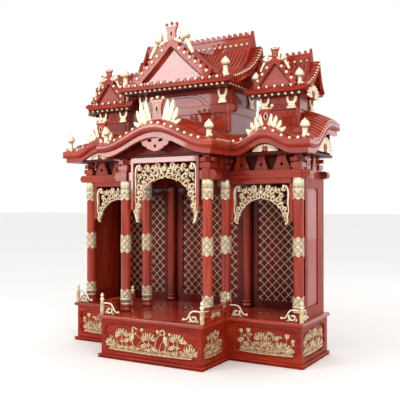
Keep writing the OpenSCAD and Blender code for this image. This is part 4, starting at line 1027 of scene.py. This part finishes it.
# Lower roof: one waving sheet, highest over the middle, lower over each bay, and sweeping up along the flanks
roofShape = {
    "rise": 34, "run": 110, "thick": 10,
    "centreArch": 53, "centreReach": 183,
    "sideArch": 31, "sideMiddle": 294, "sideReach": 87.7,
    "flankArch": 66, "flankStart": 24, "flankRun": 136,
    "flankFade": (300, 66),           # where the flank's swell starts, and the way to its full height
}


def swell(t, half):
    return 0.5 + 0.5 * math.cos(math.pi * t / half) if abs(t) < half else 0.0


def frontArch(x):
    centre = roofShape["centreArch"] * swell(x, roofShape["centreReach"])
    side = roofShape["sideArch"] * swell(abs(x) - roofShape["sideMiddle"], roofShape["sideReach"])
    return max(centre, side)


def flankArch(y):
    t = min(1, max(0, (y - roofShape["flankStart"]) / roofShape["flankRun"]))
    return roofShape["flankArch"] * (0.5 - 0.5 * math.cos(math.pi * t))


def roofTop(x, y):
    inward = max(0, min(roofCentreHalf - abs(x), y - roofFront), min(roofHalf - abs(x), y - sideFront))
    slope = roofShape["rise"] * (1 - (1 - min(1, inward / roofShape["run"])) ** 2.2)
    start, way = roofShape["flankFade"]
    return roofEdge + slope + max(frontArch(x), flankArch(y) * min(1, max(0, (abs(x) - start) / way)))


def addSheet(carving, xs, ys):
    rings = []
    for y in ys:
        top = [(x, y, roofTop(x, y)) for x in xs]
        rings.append(top + [(x, y, z - roofShape["thick"]) for x, y, z in reversed(top)])
    addRings(carving, rings)


hair = 0.3                            # mm by which the sheets stay inside the edge
sheet, sideSheet = newCarving(), newCarving()
addSheet(sheet, steps(hair - roofCentreHalf, roofCentreHalf - hair, 84), steps(roofFront + hair, backY, 70))
makePiece("lower_roof_centre_sheet", sheet, lacquer["X"], ["lower_roof_centre"], bevel=2.2)
addSheet(sideSheet, steps(roofCentreHalf - 1, roofHalf - hair, 56), steps(sideFront + hair, backY, 56))
addMirror(sideSheet)
makePiece("lower_roof_side_sheets", sideSheet, lacquer["X"], ["lower_roof_sides"], bevel=2.2)
softenedCopy("eaves_bargeboards", boardLacquer, 1.2)

# flat fascia board over a rounded dark bead; both follow the waving edge right round the front and the flanks
fascia = {                            # how far inward from the edge, and how high over it
    "board": [(9, -14.5), (-2, -14.5), (-2.5, -13.8), (-2.5, -1.4), (-1.9, -0.4), (2, 1.6), (7, 3.2)],
    "bead": [(9, -22), (-0.6, -22), (-2.6, -20.6), (-3.3, -18.2), (-2.7, -15.8), (-1, -14.4), (9, -14.4)],
    "flankFrom": 420,
}


def edgeStations():
    # places along the right half of the roof's edge, each with the direction that faces outward
    stations = [((x, roofFront), (0, -1)) for x in steps(0, roofCentreHalf, 40)[:-1]]
    stations.append(((roofCentreHalf, roofFront), (1, -1)))
    stations += [((roofCentreHalf, y), (1, 0)) for y in steps(roofFront, sideFront, 6)[1:-1]]
    stations.append(((roofCentreHalf, sideFront), (1, -1)))
    stations += [((x, sideFront), (0, -1)) for x in steps(roofCentreHalf, roofHalf, 48)[1:-1]]
    stations.append(((roofHalf, sideFront), (1, -1)))
    stations += [((roofHalf, y), (1, 0)) for y in steps(sideFront, backY, 36)[1:]]
    return stations


def edgeLevel(x, y):
    return roofEdge + max(frontArch(x), flankArch(y) if abs(x) > fascia["flankFrom"] else 0)


right = edgeStations()
stations = [((-x, y), (-a, b)) for (x, y), (a, b) in reversed(right[1:])] + right
for name, material, replaced in (("board", boardLacquer, ["eaves_fascias"]), ("bead", lowLacquer["X"], [])):
    band = newCarving()
    addRings(band, [[(x - a * inset, y - b * inset, edgeLevel(x, y) + z) for inset, z in fascia[name]]
                    for (x, y), (a, b) in stations])
    makePiece("eaves_fascia_" + name, band, material, replaced, sharp=50)

roofRibs = {
    "pitch": 11.5, "radius": 3.4, "proud": 0.8, "end": 2.9,
    # edge, length, first place and span of each row
    "rows": [(roofHalf, 66, 14, backY - 14),
             (roofCentreHalf, 60, roofFront + 34, sideFront - roofFront - 30)],
}
ribs, ribEnds = newCarving(), newCarving()
for edge, run, start, span in roofRibs["rows"]:
    for i in range(int(span / roofRibs["pitch"])):
        y = start + i * roofRibs["pitch"]
        path = [(x, y, roofTop(x, y) + roofRibs["proud"]) for x in steps(edge - 1, edge - run, 8)]
        addTube(ribs, path, roofRibs["radius"])
        addBall(ribEnds, edge - 0.4, y, roofTop(edge, y) + 1.6, roofRibs["end"])
addMirror(ribs)
makePiece("lower_roof_ribs", ribs, lacquer["X"])

beads = {"radius": 4.8, "centre": (22, 8), "side": (24.5, 9), "sideStart": 8}     # spacing and count
edgeBeads, sideBeads = newCarving(), newCarving()
spacing, count = beads["centre"]
for i in range(1 - count, count):
    addBall(edgeBeads, i * spacing, roofFront + 1, roofTop(i * spacing, roofFront) + 3, beads["radius"])
spacing, count = beads["side"]
for i in range(count):
    x = roofCentreHalf + beads["sideStart"] + i * spacing
    addBall(sideBeads, x, sideFront + 1, roofTop(x, sideFront) + 3, beads["radius"])
addMirror(sideBeads)
addMirror(ribEnds)
makePiece("gold_beads_centre_edge", edgeBeads, gold)
makePiece("gold_beads_side_edges", sideBeads, gold)
makePiece("gold_rib_ends", ribEnds, gold)
print("lower roof done")


# Fans, crests and finials
def addFan(carving, at, centre, wide, tall, inner=0.24, flutes=11, height=4.2, depth=1.0):
    # half rosette: radial flutes with rounded outer ends
    section = ((inner, -depth), (inner, 1.6), (0.3 * inner + 0.35, 0.7), (0.5 + inner / 2, 1.6),
               (0.9, height), (1.0, 1.8), (1.0, -depth))
    rings = []
    for a in steps(0, math.pi, flutes * 8):
        wave = abs(math.sin(a * flutes)) ** 0.6
        loop = []
        for reach, h in section:
            r = reach * (0.9 + 0.1 * wave) if reach > 0.85 else reach
            out = h * (0.35 + 0.65 * wave) if h > 0 and reach > inner else h
            u, v = centre[0] + wide * r * math.cos(a), centre[1] + tall * r * math.sin(a)
            loop.append(at @ Vector((u, v, out)))
        rings.append(loop)
    addRings(carving, rings)


def addHeart(carving, at, centre, size):
    # small red heart let into the middle of a fan
    u, v = centre
    for way in (1, -1):
        path = [centre, (u + way * size * 0.42, v + size * 0.5), (u + way * size * 0.2, v + size * 0.95),
                (u, v + size * 0.72)]
        addLeaf(carving, at, curveThrough(path, 4), size * 0.62, 3.4, "strap", 1.0)


fanSeats = [                          # board, centre, half width and height of the fan, heart's foot and size
    (("front", sideFront + 19), (roofShape["sideMiddle"], eavesZ + 8.4), 40, 22, eavesZ + 9.5, 12),
    (("side", roofHalf - 19), (160, eavesZ + 13.2), 62, 46, eavesZ + 15, 20),
    (("side", towerAxis + sideHalf + 3), (106, sideEave - 30.8), 48, 39, sideEave - 29, 16),
]
fans, hearts = newCarving(), newCarving()
for board, centre, wide, tall, heartFoot, heartSize in fanSeats:
    addFan(fans, facing(*board), centre, wide, tall)
    addHeart(hearts, facing(*board), (centre[0], heartFoot), heartSize)
addMirror(fans)
addMirror(hearts)
makePiece("gilded_fans", fans, gold, ["gold_fans"], sharp=50)
makePiece("red_fan_hearts", hearts, lacquer["Z"], sharp=60)

finial = {                            # the first three points stand on the roof, the rest hang from the tip
    "foot": [(0, 0), (8.6, 0), (9, 1)],
    "body": [(9, -46.5), (8, -45), (7, -43.4), (7, -32.6), (8.4, -31), (8.9, -30), (7.6, -28.4), (6, -27.4),
             (9, -25), (13, -22.4), (13.6, -20.6), (13.2, -18.4), (12, -14.6), (10.2, -11), (7.8, -8),
             (4.8, -5.6), (2.8, -3.6), (1.8, -1.6), (0, 0)],
    "bead": 4.6,
    "towerSeats": [(mainHalf - 20.5, -20, mainEave, 63), (towerAxis + sideHalf - 23, 65.4, sideEave, 54),
                   (towerAxis - sideHalf + 28, 65.4, sideEave, 54)],
    "roofSeats": [(roofCentreHalf - 18, roofFront + 20), (roofHalf - 18.5, sideFront + 14)],
}


def addFinial(carving, x, y, foot, top):
    profile = [(r, foot + z) for r, z in finial["foot"]] + [(r, top + z) for r, z in finial["body"]]
    addTurning(carving, x, y, profile, 28)
    addBall(carving, x + 12, y - 9, foot + 6, finial["bead"])


finials = newCarving()
for x, y in finial["roofSeats"]:
    addFinial(finials, x, y, roofTop(x + 9, y - 9), roofEdge + 58)
for x, y, level, tall in finial["towerSeats"]:
    addFinial(finials, x, y, level, level + tall)
addMirror(finials)
makePiece("gilded_finials", finials, gold, ["roof_finials"])

crown = {
    "outline": [(19, -6), (16, 14), (15, 30), (16.5, 40), (22, 48), (22, 53)],    # right half
    "balls": [(-19, 57.5), (0, 60.5), (19, 57.5)], "ball": 5.4,
    "lip": [(-20, 50.5), (0, 50.5), (20, 50.5)],
    "eye": [(-6, 27), (0, 16), (6, 27), (0, 38), (-6, 27)],
}
crests = {                            # drop lowers the foot; each spray has a root, a tip and its width
    "centre": {
        "seat": (0, -109, roofEdge + 72), "scale": 1.0, "thick": 8, "drop": 8, "form": "tooth",
        "sprays": [((28, -8), (38, 54), 23), ((37, -10), (57, 52), 23), ((42, -14), (71, 28), 21),
                   ((44, -20), (81, -6), 17)],
    },
    "side": {
        "seat": (roofShape["sideMiddle"], 1, roofEdge + 44), "scale": 0.95, "thick": 6.5, "drop": 8,
        "form": "tooth",
        "sprays": [((12, 0), (18, 36), 15), ((22, -4), (34, 28), 17), ((31, -10), (48, 14), 17),
                   ((40, -18), (63, -6), 16), ((10, 0), (52, -18), 24)],
    },
    "mainTower": {
        "seat": (0, -31, mainEave + 122), "scale": 0.95, "thick": 7, "drop": 4, "form": "flame",
        "sprays": [((10, 6), (30, 16), 12), ((18, 2), (44, 2), 12)],
    },
    "sideTower": {
        "seat": (towerAxis, 50.2, sideEave + 80), "scale": 0.62, "thick": 5, "drop": 4, "form": "flame",
        "sprays": [((10, 6), (30, 16), 12), ((18, 2), (44, 2), 12)],
    },
}


def addCrest(crest, body, leaves, eyes, balls):
    # crown board, wide at its foot and its lip, with a gold-rimmed dark diamond; balls stand on top of it and
    # pointed leaves overlap at both sides
    (x, y, z), scale, thick = crest["seat"], crest["scale"], crest["thick"]

    def placed(points):
        return [(x + u * scale, z + v * scale) for u, v in points]

    right = [(u, v - (crest["drop"] if v < 0 else 0)) for u, v in crown["outline"]]
    outline = placed(right + [(-u, v) for u, v in reversed(right)])
    addRings(body, [[(u, d, v) for u, v in outline] for d in (y, y + thick)])
    for u, v in placed(crown["balls"]):
        addBall(balls, u, y + thick / 2, v, crown["ball"] * scale)
    board = facing("front", y)
    addLeaf(leaves, board, placed(curveThrough(crown["eye"], 3)), 2.6 * scale, 1.8, "even", 1)
    addRings(eyes, [[(u, d, v) for u, v in placed(crown["eye"][:4])] for d in (y + 1, y - 0.4)])
    addLeaf(leaves, board, placed(crown["lip"]), 3.4 * scale, 1.6, "even", 1)
    for way in (1, -1):
        for i, (root, tip, width) in enumerate(crest["sprays"]):
            middle = (root[0] * 0.4 + tip[0] * 0.6, root[1] * 0.55 + tip[1] * 0.45 - 2)
            path = placed([(way * u, v) for u, v in curveThrough([root, middle, tip], 5)])
            addLeaf(leaves, board, path, width * scale, 4.4, crest["form"], thick * 0.8, fold=0.6, sides=6,
                    lift=1.6 * (i % 2))


body, leaves, eyes, sideCrests, sideLeaves, sideEyes = [newCarving() for _ in range(6)]
addCrest(crests["centre"], body, leaves, eyes, leaves)
addCrest(crests["side"], sideCrests, sideLeaves, sideEyes, sideLeaves)
for carving in (sideCrests, sideLeaves, sideEyes):
    addMirror(carving)
makePiece("centre_crest_body", body, boardLacquer, ["lower_roof_crests"], bevel=1.2)
makePiece("centre_crest_leaves", leaves, gold, sharp=60)
makePiece("side_crest_bodies", sideCrests, lacquer["Z"], bevel=1.2)
makePiece("side_crest_leaves", sideLeaves, gold, sharp=60)
print("fans, finials and lower crests done")


# Towers
for node, material in (("centre_tower_walls", lacquer["X"]), ("side_tower_walls", lacquer["X"]),
                       ("tower_brackets", gold), ("centre_tower_roof", lowLacquer["X"]),
                       ("side_tower_roofs", lowLacquer["X"]), ("tower_gable_panels", panelLacquer),
                       ("tower_gable_bargeboards", lacquer["X"]), ("flank_bargeboards", lacquer["Y"]),
                       ("tower_ridges", lacquer["X"])):
    softenedCopy(node, material)

# slopes are lines of depth and height over the eave, places across are counted from the tower's axis
towers = {
    "main": {
        "axis": 0, "eave": mainEave, "drop": mainDrop,
        "gable": {"cap": 128, "peak": 135, "fall": 0.95, "curl": 0.0008, "reach": 140},
        "slope": [(-24, 0), (10, 15), (45, 35), (80, 63), (105, 91), (116, 108)],
        "back": [(144, 108), (160, 88), (185, 63), (210, 45), (232, 33)],
        "verge": [(-32, 0), (0, 8), (30, 21), (60, 35), (90, 56), (112, 83), (130, 115), (148, 83), (170, 56),
                  (200, 35), (232, 21)],
        "sweep": {"start": 197, "edge": 199, "reach": 26, "foot": -32, "ridge": 130, "back": 102,
                  "tile": 3.2},
        "rows": range(15),
        "tiles": {"depths": (-14, 66, 8), "run": (4, 138, 14), "radius": 2.6, "ways": (1,)},
        "board": {"start": 0, "end": mainHalf - 13, "front": -23.2, "wall": 31},
        "rafters": {"first": 9, "pitch": 18, "count": 10, "depth": -24, "level": 15},
        "ridge": {"first": 9.5, "pitch": 19, "count": 10, "depths": (119.2, 140.8), "level": 126,
                  "bead": 5.0},
    },
    "side": {
        "axis": towerAxis, "eave": sideEave, "drop": sideDrop,
        "gable": {"cap": 84, "peak": 90, "fall": 1.2, "curl": 0, "reach": 68},
        "slope": [(53, 0), (72, 12), (92, 32), (106, 54), (112, 70)],
        "back": [(132, 70), (138, 54), (152, 32), (172, 12), (191, 0)],
        "verge": [(49, 0), (70, 9), (92, 27), (108, 50), (122, 76), (136, 50), (152, 27), (174, 9), (195, 0)],
        "sweep": {"start": 87, "edge": 93, "reach": 18, "foot": 49, "ridge": 122, "back": 74, "tile": 3},
        "rows": range(-6, 7),
        "tiles": {"depths": (70, 100, 3), "run": (5, 66, 8), "radius": 2.4, "ways": (1, -1)},
        "board": {"start": 12 - sideHalf, "end": sideHalf - 12, "front": 57.8, "wall": 79},
        "rafters": {"first": -71.75, "pitch": 20.5, "count": 8, "depth": 57, "level": 18},
        "ridge": {"first": -64, "pitch": 20, "count": 8, "depths": (114.4, 129.6), "level": 81, "bead": 4.5},
    },
}
towerTiles = {"pitch": 12.6, "radius": 3.1, "proud": 0.8, "vergePitch": 10.5, "backShare": 0.65}
# dark boards under the tower eaves stand for the shadow there: painted shadow
eaveShadowBoard = {"thick": 1.6, "tall": 7.8, "ceiling": 1.5}
rafterEnd = {"radius": 4.9, "flankRadius": 3.92, "flankCount": 11}


def gableLine(tower, u):
    form = tower["gable"]
    return tower["eave"] + min(form["cap"], form["peak"] - form["fall"] * abs(u) + form["curl"] * u * u)


towerRibs, vergeBeads, boards, rafterEnds, dots = [newCarving() for _ in range(5)]
for tower in towers.values():
    axis, eave, sweep = tower["axis"], tower["eave"], tower["sweep"]
    for i in tower["rows"]:
        u = i * towerTiles["pitch"]
        for slope in (tower["slope"], tower["back"]):
            level = eave + towerTiles["proud"]
            path = [(axis + u, y, level + z) for y, z in slope]
            if slope is tower["slope"] and abs(u) < tower["gable"]["reach"]:      # the gable roof hides it
                path = [(axis + u, y, level + z) for y, z in curveThrough(slope, 6)
                        if level + z > gableLine(tower, u) - 2]
            if len(path) > 1:
                addTube(towerRibs, path, towerTiles["radius"], 6)
    for y, z in alongLine(tower["verge"], towerTiles["vergePitch"]):              # short tiles on the flanks
        share = (y - sweep["foot"]) / (sweep["ridge"] - sweep["foot"])
        if y >= sweep["ridge"]:
            share = 1 - towerTiles["backShare"] * (y - sweep["ridge"]) / sweep["back"]
        edge, level = axis + sweep["edge"] + sweep["reach"] * share, eave + z + towerTiles["proud"]
        addTube(towerRibs, [(axis + sweep["start"], y, level), (edge - 1, y, level)], sweep["tile"], 6)
        addBall(vergeBeads, edge - 0.6, y, eave + z - 0.4, sweep["tile"])
    tiles = tower["tiles"]                                                        # of the gable roofs
    for y in steps(*tiles["depths"]):
        for way in tiles["ways"]:
            line = [(axis + way * u, y, gableLine(tower, u) + 0.6) for u in steps(*tiles["run"])]
            addTube(towerRibs, line, tiles["radius"], 6)
    board, low = tower["board"], eave - tower["drop"]                             # dark boards under the eaves: painted shadow of their underside
    start, end, front = axis + board["start"], axis + board["end"], board["front"]
    addBox(boards, (start, front, low), (end, front + eaveShadowBoard["thick"], low + eaveShadowBoard["tall"]))
    addBox(boards, (start, front + 0.4, low - eaveShadowBoard["ceiling"]), (end, board["wall"], low + 0.2))
    row = tower["rafters"]
    for i in range(row["count"]):
        addBall(rafterEnds, axis + row["first"] + i * row["pitch"], row["depth"], eave - row["level"],
                rafterEnd["radius"])
    row = tower["ridge"]                                                          # beads, front and back
    for i in range(row["count"]):
        for y in row["depths"]:
            addBall(dots, axis + row["first"] + i * row["pitch"], y, eave + row["level"], row["bead"])
row = towers["main"]["rafters"]
for i in range(rafterEnd["flankCount"]):
    addBall(rafterEnds, mainHalf - 11.4, -8 + i * row["pitch"], mainEave - row["level"],
            rafterEnd["flankRadius"])
for carving in (towerRibs, vergeBeads, boards, rafterEnds):
    addMirror(carving)
makePiece("tower_roof_ribs", towerRibs, lacquer["X"])
makePiece("gold_verge_beads", vergeBeads, gold)
makePiece("painted_shadow_eave_boards", boards, darkAndShadowLacquer["X"])
makePiece("gold_rafter_ends", rafterEnds, gold)

# beads and round tile ends that stand on the fascias and along the gables' edges
towerBeads = {
    "main": {
        "first": 12, "pitch": 24, "count": 7, "gap": 12, "depth": -31, "rise": 4, "bead": 5.2,
        "tile": {"from": (-31.5, 4.8), "to": (-20, 6), "radius": 5.6, "sides": 12},
        "line": [(x, gableLine(towers["main"], x)) for x in steps(16, 136, 30)], "ways": (1,),
        "vergePitch": 24, "beadStart": 0.9, "tileStart": 0.35, "vergeBead": (-1.5, -34.6, -6, 5.4),
        "vergeTile": (-35.5, -20, 2, 6.4),
    },
    "side": {
        "first": -50, "pitch": 25, "count": 5, "gap": 12.5, "depth": 50.5, "rise": 3.6, "bead": 4.784,
        "tile": {"from": (50.4, 3.8), "to": (62, 5), "radius": 4.2, "sides": 10},
        "line": [(u, gableLine(towers["side"], u)) for u in steps(11, 66, 16)], "ways": (1, -1),
        "vergePitch": 23, "beadStart": 0.8, "tileStart": 0.3, "vergeBead": (0, 48.2, -4.5, 5.076),
        "vergeTile": (48.2, 62, 1.5, 5.4),
    },
}
knobs = newCarving()
for name, row in towerBeads.items():
    axis, eave, tile = towers[name]["axis"], towers[name]["eave"], row["tile"]
    for i in range(row["count"]):
        x = axis + row["first"] + i * row["pitch"]
        addBall(dots, x, row["depth"], eave + row["rise"], row["bead"])
        if name == "main" or i < row["count"] - 1:    # a tile end between each two beads
            ends = [(x + row["gap"], y, eave + z) for y, z in (tile["from"], tile["to"])]
            addTube(knobs, ends, tile["radius"], tile["sides"])
    shift, depth, drop, bead = row["vergeBead"]
    front, back, rise, radius = row["vergeTile"]
    for way in row["ways"]:
        for u, z in alongLine(row["line"], row["vergePitch"], row["beadStart"]):
            addBall(dots, axis + way * u + shift, depth, z + drop, bead)
        for u, z in alongLine(row["line"], row["vergePitch"], row["tileStart"]):
            addTube(knobs, [(axis + way * u, y, z + rise) for y in (front, back)], radius, 12)
addMirror(dots)
addMirror(knobs)
makePiece("gold_tower_beads", dots, gold)
makePiece("verge_tile_ends", knobs, lacquer["X"])

# top crests: crown between two gilded stems with caps, lying along the verges
stemCap = {                           # radius, and share of the length from the foot
    "profile": [(5, 0), (6.2, 0.08), (6, 0.48), (7, 0.53), (7.4, 0.57), (6, 0.6), (11, 0.63), (15.6, 0.65),
                (16.2, 0.68), (15.4, 0.73), (13, 0.82), (9, 0.91), (4.5, 0.97)],
    "foot": (74, -46), "head": (36, 27),
    "seats": [(0, -29, mainEave + 128), (towerAxis, 52, sideEave + 78)], "scales": [1.0, 0.6],
}


def addStems(carving, x, y, z, scale):
    half, (footU, footV), (headU, headV) = newCarving(), stemCap["foot"], stemCap["head"]
    addSpindle(half, (x + footU * scale, y, z + footV * scale), (x + headU * scale, y, z + headV * scale),
               [(radius * scale, share) for radius, share in stemCap["profile"]])
    joinHalf(carving, half, x)


topBody, topLeaves, sideTopBody, sideTopLeaves, towerEyes = [newCarving() for _ in range(5)]
addCrest(crests["mainTower"], topBody, topLeaves, eyes, topBody)
addCrest(crests["sideTower"], sideTopBody, sideTopLeaves, towerEyes, sideTopLeaves)
for carving, seat, scale in zip((topLeaves, sideTopLeaves), stemCap["seats"], stemCap["scales"]):
    addStems(carving, *seat, scale)
for carving in (sideTopBody, sideTopLeaves, towerEyes):
    addMirror(carving)
makePiece("dark_crest_eyes", eyes, darkAndShadowLacquer["Z"])
makePiece("dark_side_crest_eyes", sideEyes, darkAndShadowLacquer["Z"])
makePiece("dark_tower_crest_eyes", towerEyes, darkAndShadowLacquer["Z"])
makePiece("top_crest_body", topBody, boardLacquer, ["tower_crests"], bevel=1.0)
makePiece("top_crest_leaves", topLeaves, gold, sharp=60)
makePiece("side_tower_crest_bodies", sideTopBody, lacquer["Z"], bevel=0.8)
makePiece("side_tower_crest_leaves", sideTopLeaves, gold, sharp=60)

# thin lines cut into the friezes and the gables, drawn as dark strips a hair above the board: painted shadow
# in the cuts
scribed = {
    "width": 1.5, "stand": 0.5,
    "bow": [(-91, 757), (-74, 772), (-57, 782), (-28, 787), (0, 787.5), (28, 787), (57, 782), (74, 772),
            (91, 757)],
    "bows": [(0, 1.0), (7, 0.9)],     # mm lower, and share of the width
    "peak": [(-20, 731), (0, 759), (20, 731)], "peaks": (1.0, 0.55),
    "mainWall": 31, "sideWall": 79,
}
lines, sideLines, forward = newCarving(), newCarving(), Vector((0, 1, 0))


def scribe(carving, wall, path):
    addLeaf(carving, facing("front", wall), path, scribed["width"], scribed["stand"], "even", 0.3, sides=2)


for drop, share in scribed["bows"]:
    scribe(lines, scribed["mainWall"], curveThrough([(u * share, v - drop) for u, v in scribed["bow"]], 4))
foot = scribed["peak"][0][1]
for share in scribed["peaks"]:
    peak = [(towerAxis + u * share, foot + (v - foot) * share) for u, v in scribed["peak"]]
    for path in (peak[:2], peak[1:]):
        scribe(sideLines, scribed["sideWall"], path)
joinHalf(lines, sideLines)
for side in (1, -1):
    slope = [(side * x, -34.4, mainEave + 110 - 1.05 * x + 0.001 * x * x) for x in (2, 36, 70, 104)]
    addTube(lines, slope, 1.5, 6, forward)
    for way in (1, -1):
        slope = [(side * (towerAxis + way * u), 48.8, sideEave + 70 - 1.25 * u) for u in (50, 2)]
        addTube(lines, slope, 1.3, 6, forward)
makePiece("scribed_frieze_lines", lines, darkAndShadowLacquer["X"])
print("towers done")


# Studio: pale floor, white surroundings, soft boxes at the left front, the right front, behind and above
studio = {
    "floor": [(0.3, "#F7F5F3"), (0.7, "#FAF8F6")], "reach": 40,                   # metres to its edges
    "mottles": 60,                    # slow changes of its tone from edge to edge
    "ambient": 0.93,
    "lamps": {                        # degrees, metres and watts
        "soft_box_left": {"azimuth": -34, "elevation": 17, "distance": 2.6, "size": (0.62, 1.45),
                          "watts": 15},
        "soft_box_front": {"azimuth": 42, "elevation": 34, "distance": 2.6, "size": (1.4, 1.2), "watts": 16},
        "soft_box_right": {"azimuth": 154, "elevation": 4, "distance": 2.6, "size": (1.5, 0.9), "watts": 2.6},
        "overhead": {"azimuth": 0, "elevation": 66, "distance": 2.4, "size": (1.6, 1.6), "watts": 9},
    },
    "aim": (0, 0, 0.5),
}
reach = studio["reach"]
floorMesh = bpy.data.meshes.new("floor")
floorMesh.from_pydata([(-reach, -reach, 0), (reach, -reach, 0), (reach, reach, 0), (-reach, reach, 0)], [],
                      [(0, 1, 2, 3)])
floor = bpy.data.objects.new("floor", floorMesh)
bpy.context.collection.objects.link(floor)
floorPaint, tree = startMaterial("matt pale floor")
mottling = addNode(tree, "TexNoise", {"Scale": studio["mottles"], "Detail": 2})
floorTint = addNode(tree, "ValToRGB", {"stops": studio["floor"]}, {"Fac": mottling.outputs["Fac"]})
floorSurface = addNode(tree, "BsdfPrincipled", {"Roughness": 0.9}, {"Base Color": floorTint.outputs["Color"]})
addNode(tree, "OutputMaterial", {}, {"Surface": floorSurface.outputs["BSDF"]})
floorMesh.materials.append(floorPaint)
floor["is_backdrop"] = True

world = bpy.data.worlds.new("studio")
bpy.context.scene.world = world
world.use_nodes = True
tree = world.node_tree
tree.nodes.clear()
rays = addNode(tree, "LightPath").outputs
seen = addNode(tree, "Math", {"operation": "MAXIMUM"}, {0: rays["Is Camera Ray"], 1: rays["Is Glossy Ray"]})
seen = addNode(tree, "Math", {"operation": "MAXIMUM"}, {0: seen.outputs[0], 1: rays["Is Transmission Ray"]})
soft = addNode(tree, "Background", {"Color": (1, 1, 1, 1), "Strength": studio["ambient"]})
white = addNode(tree, "Background", {"Color": (1, 1, 1, 1), "Strength": 1.0})
mixed = addNode(tree, "MixShader", {}, {0: seen.outputs[0], 1: soft.outputs[0], 2: white.outputs[0]})
addNode(tree, "OutputWorld", {}, {"Surface": mixed.outputs[0]})

aim = Vector(studio["aim"])
for name, lamp in studio["lamps"].items():
    a, e = math.radians(lamp["azimuth"]), math.radians(lamp["elevation"])
    light = bpy.data.objects.new(name, bpy.data.lights.new(name, "AREA"))
    bpy.context.collection.objects.link(light)
    light.data.shape = "RECTANGLE"
    light.data.size, light.data.size_y = lamp["size"]
    light.data.energy = lamp["watts"]
    light.visible_camera = False
    toward = Vector((math.sin(a) * math.cos(e), -math.cos(a) * math.cos(e), math.sin(e)))
    light.location = aim + lamp["distance"] * toward
    light.rotation_euler = (aim - light.location).to_track_quat("-Z", "Y").to_euler()
bpy.context.scene.view_settings.view_transform = "Standard"
print("studio lit")

low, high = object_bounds()
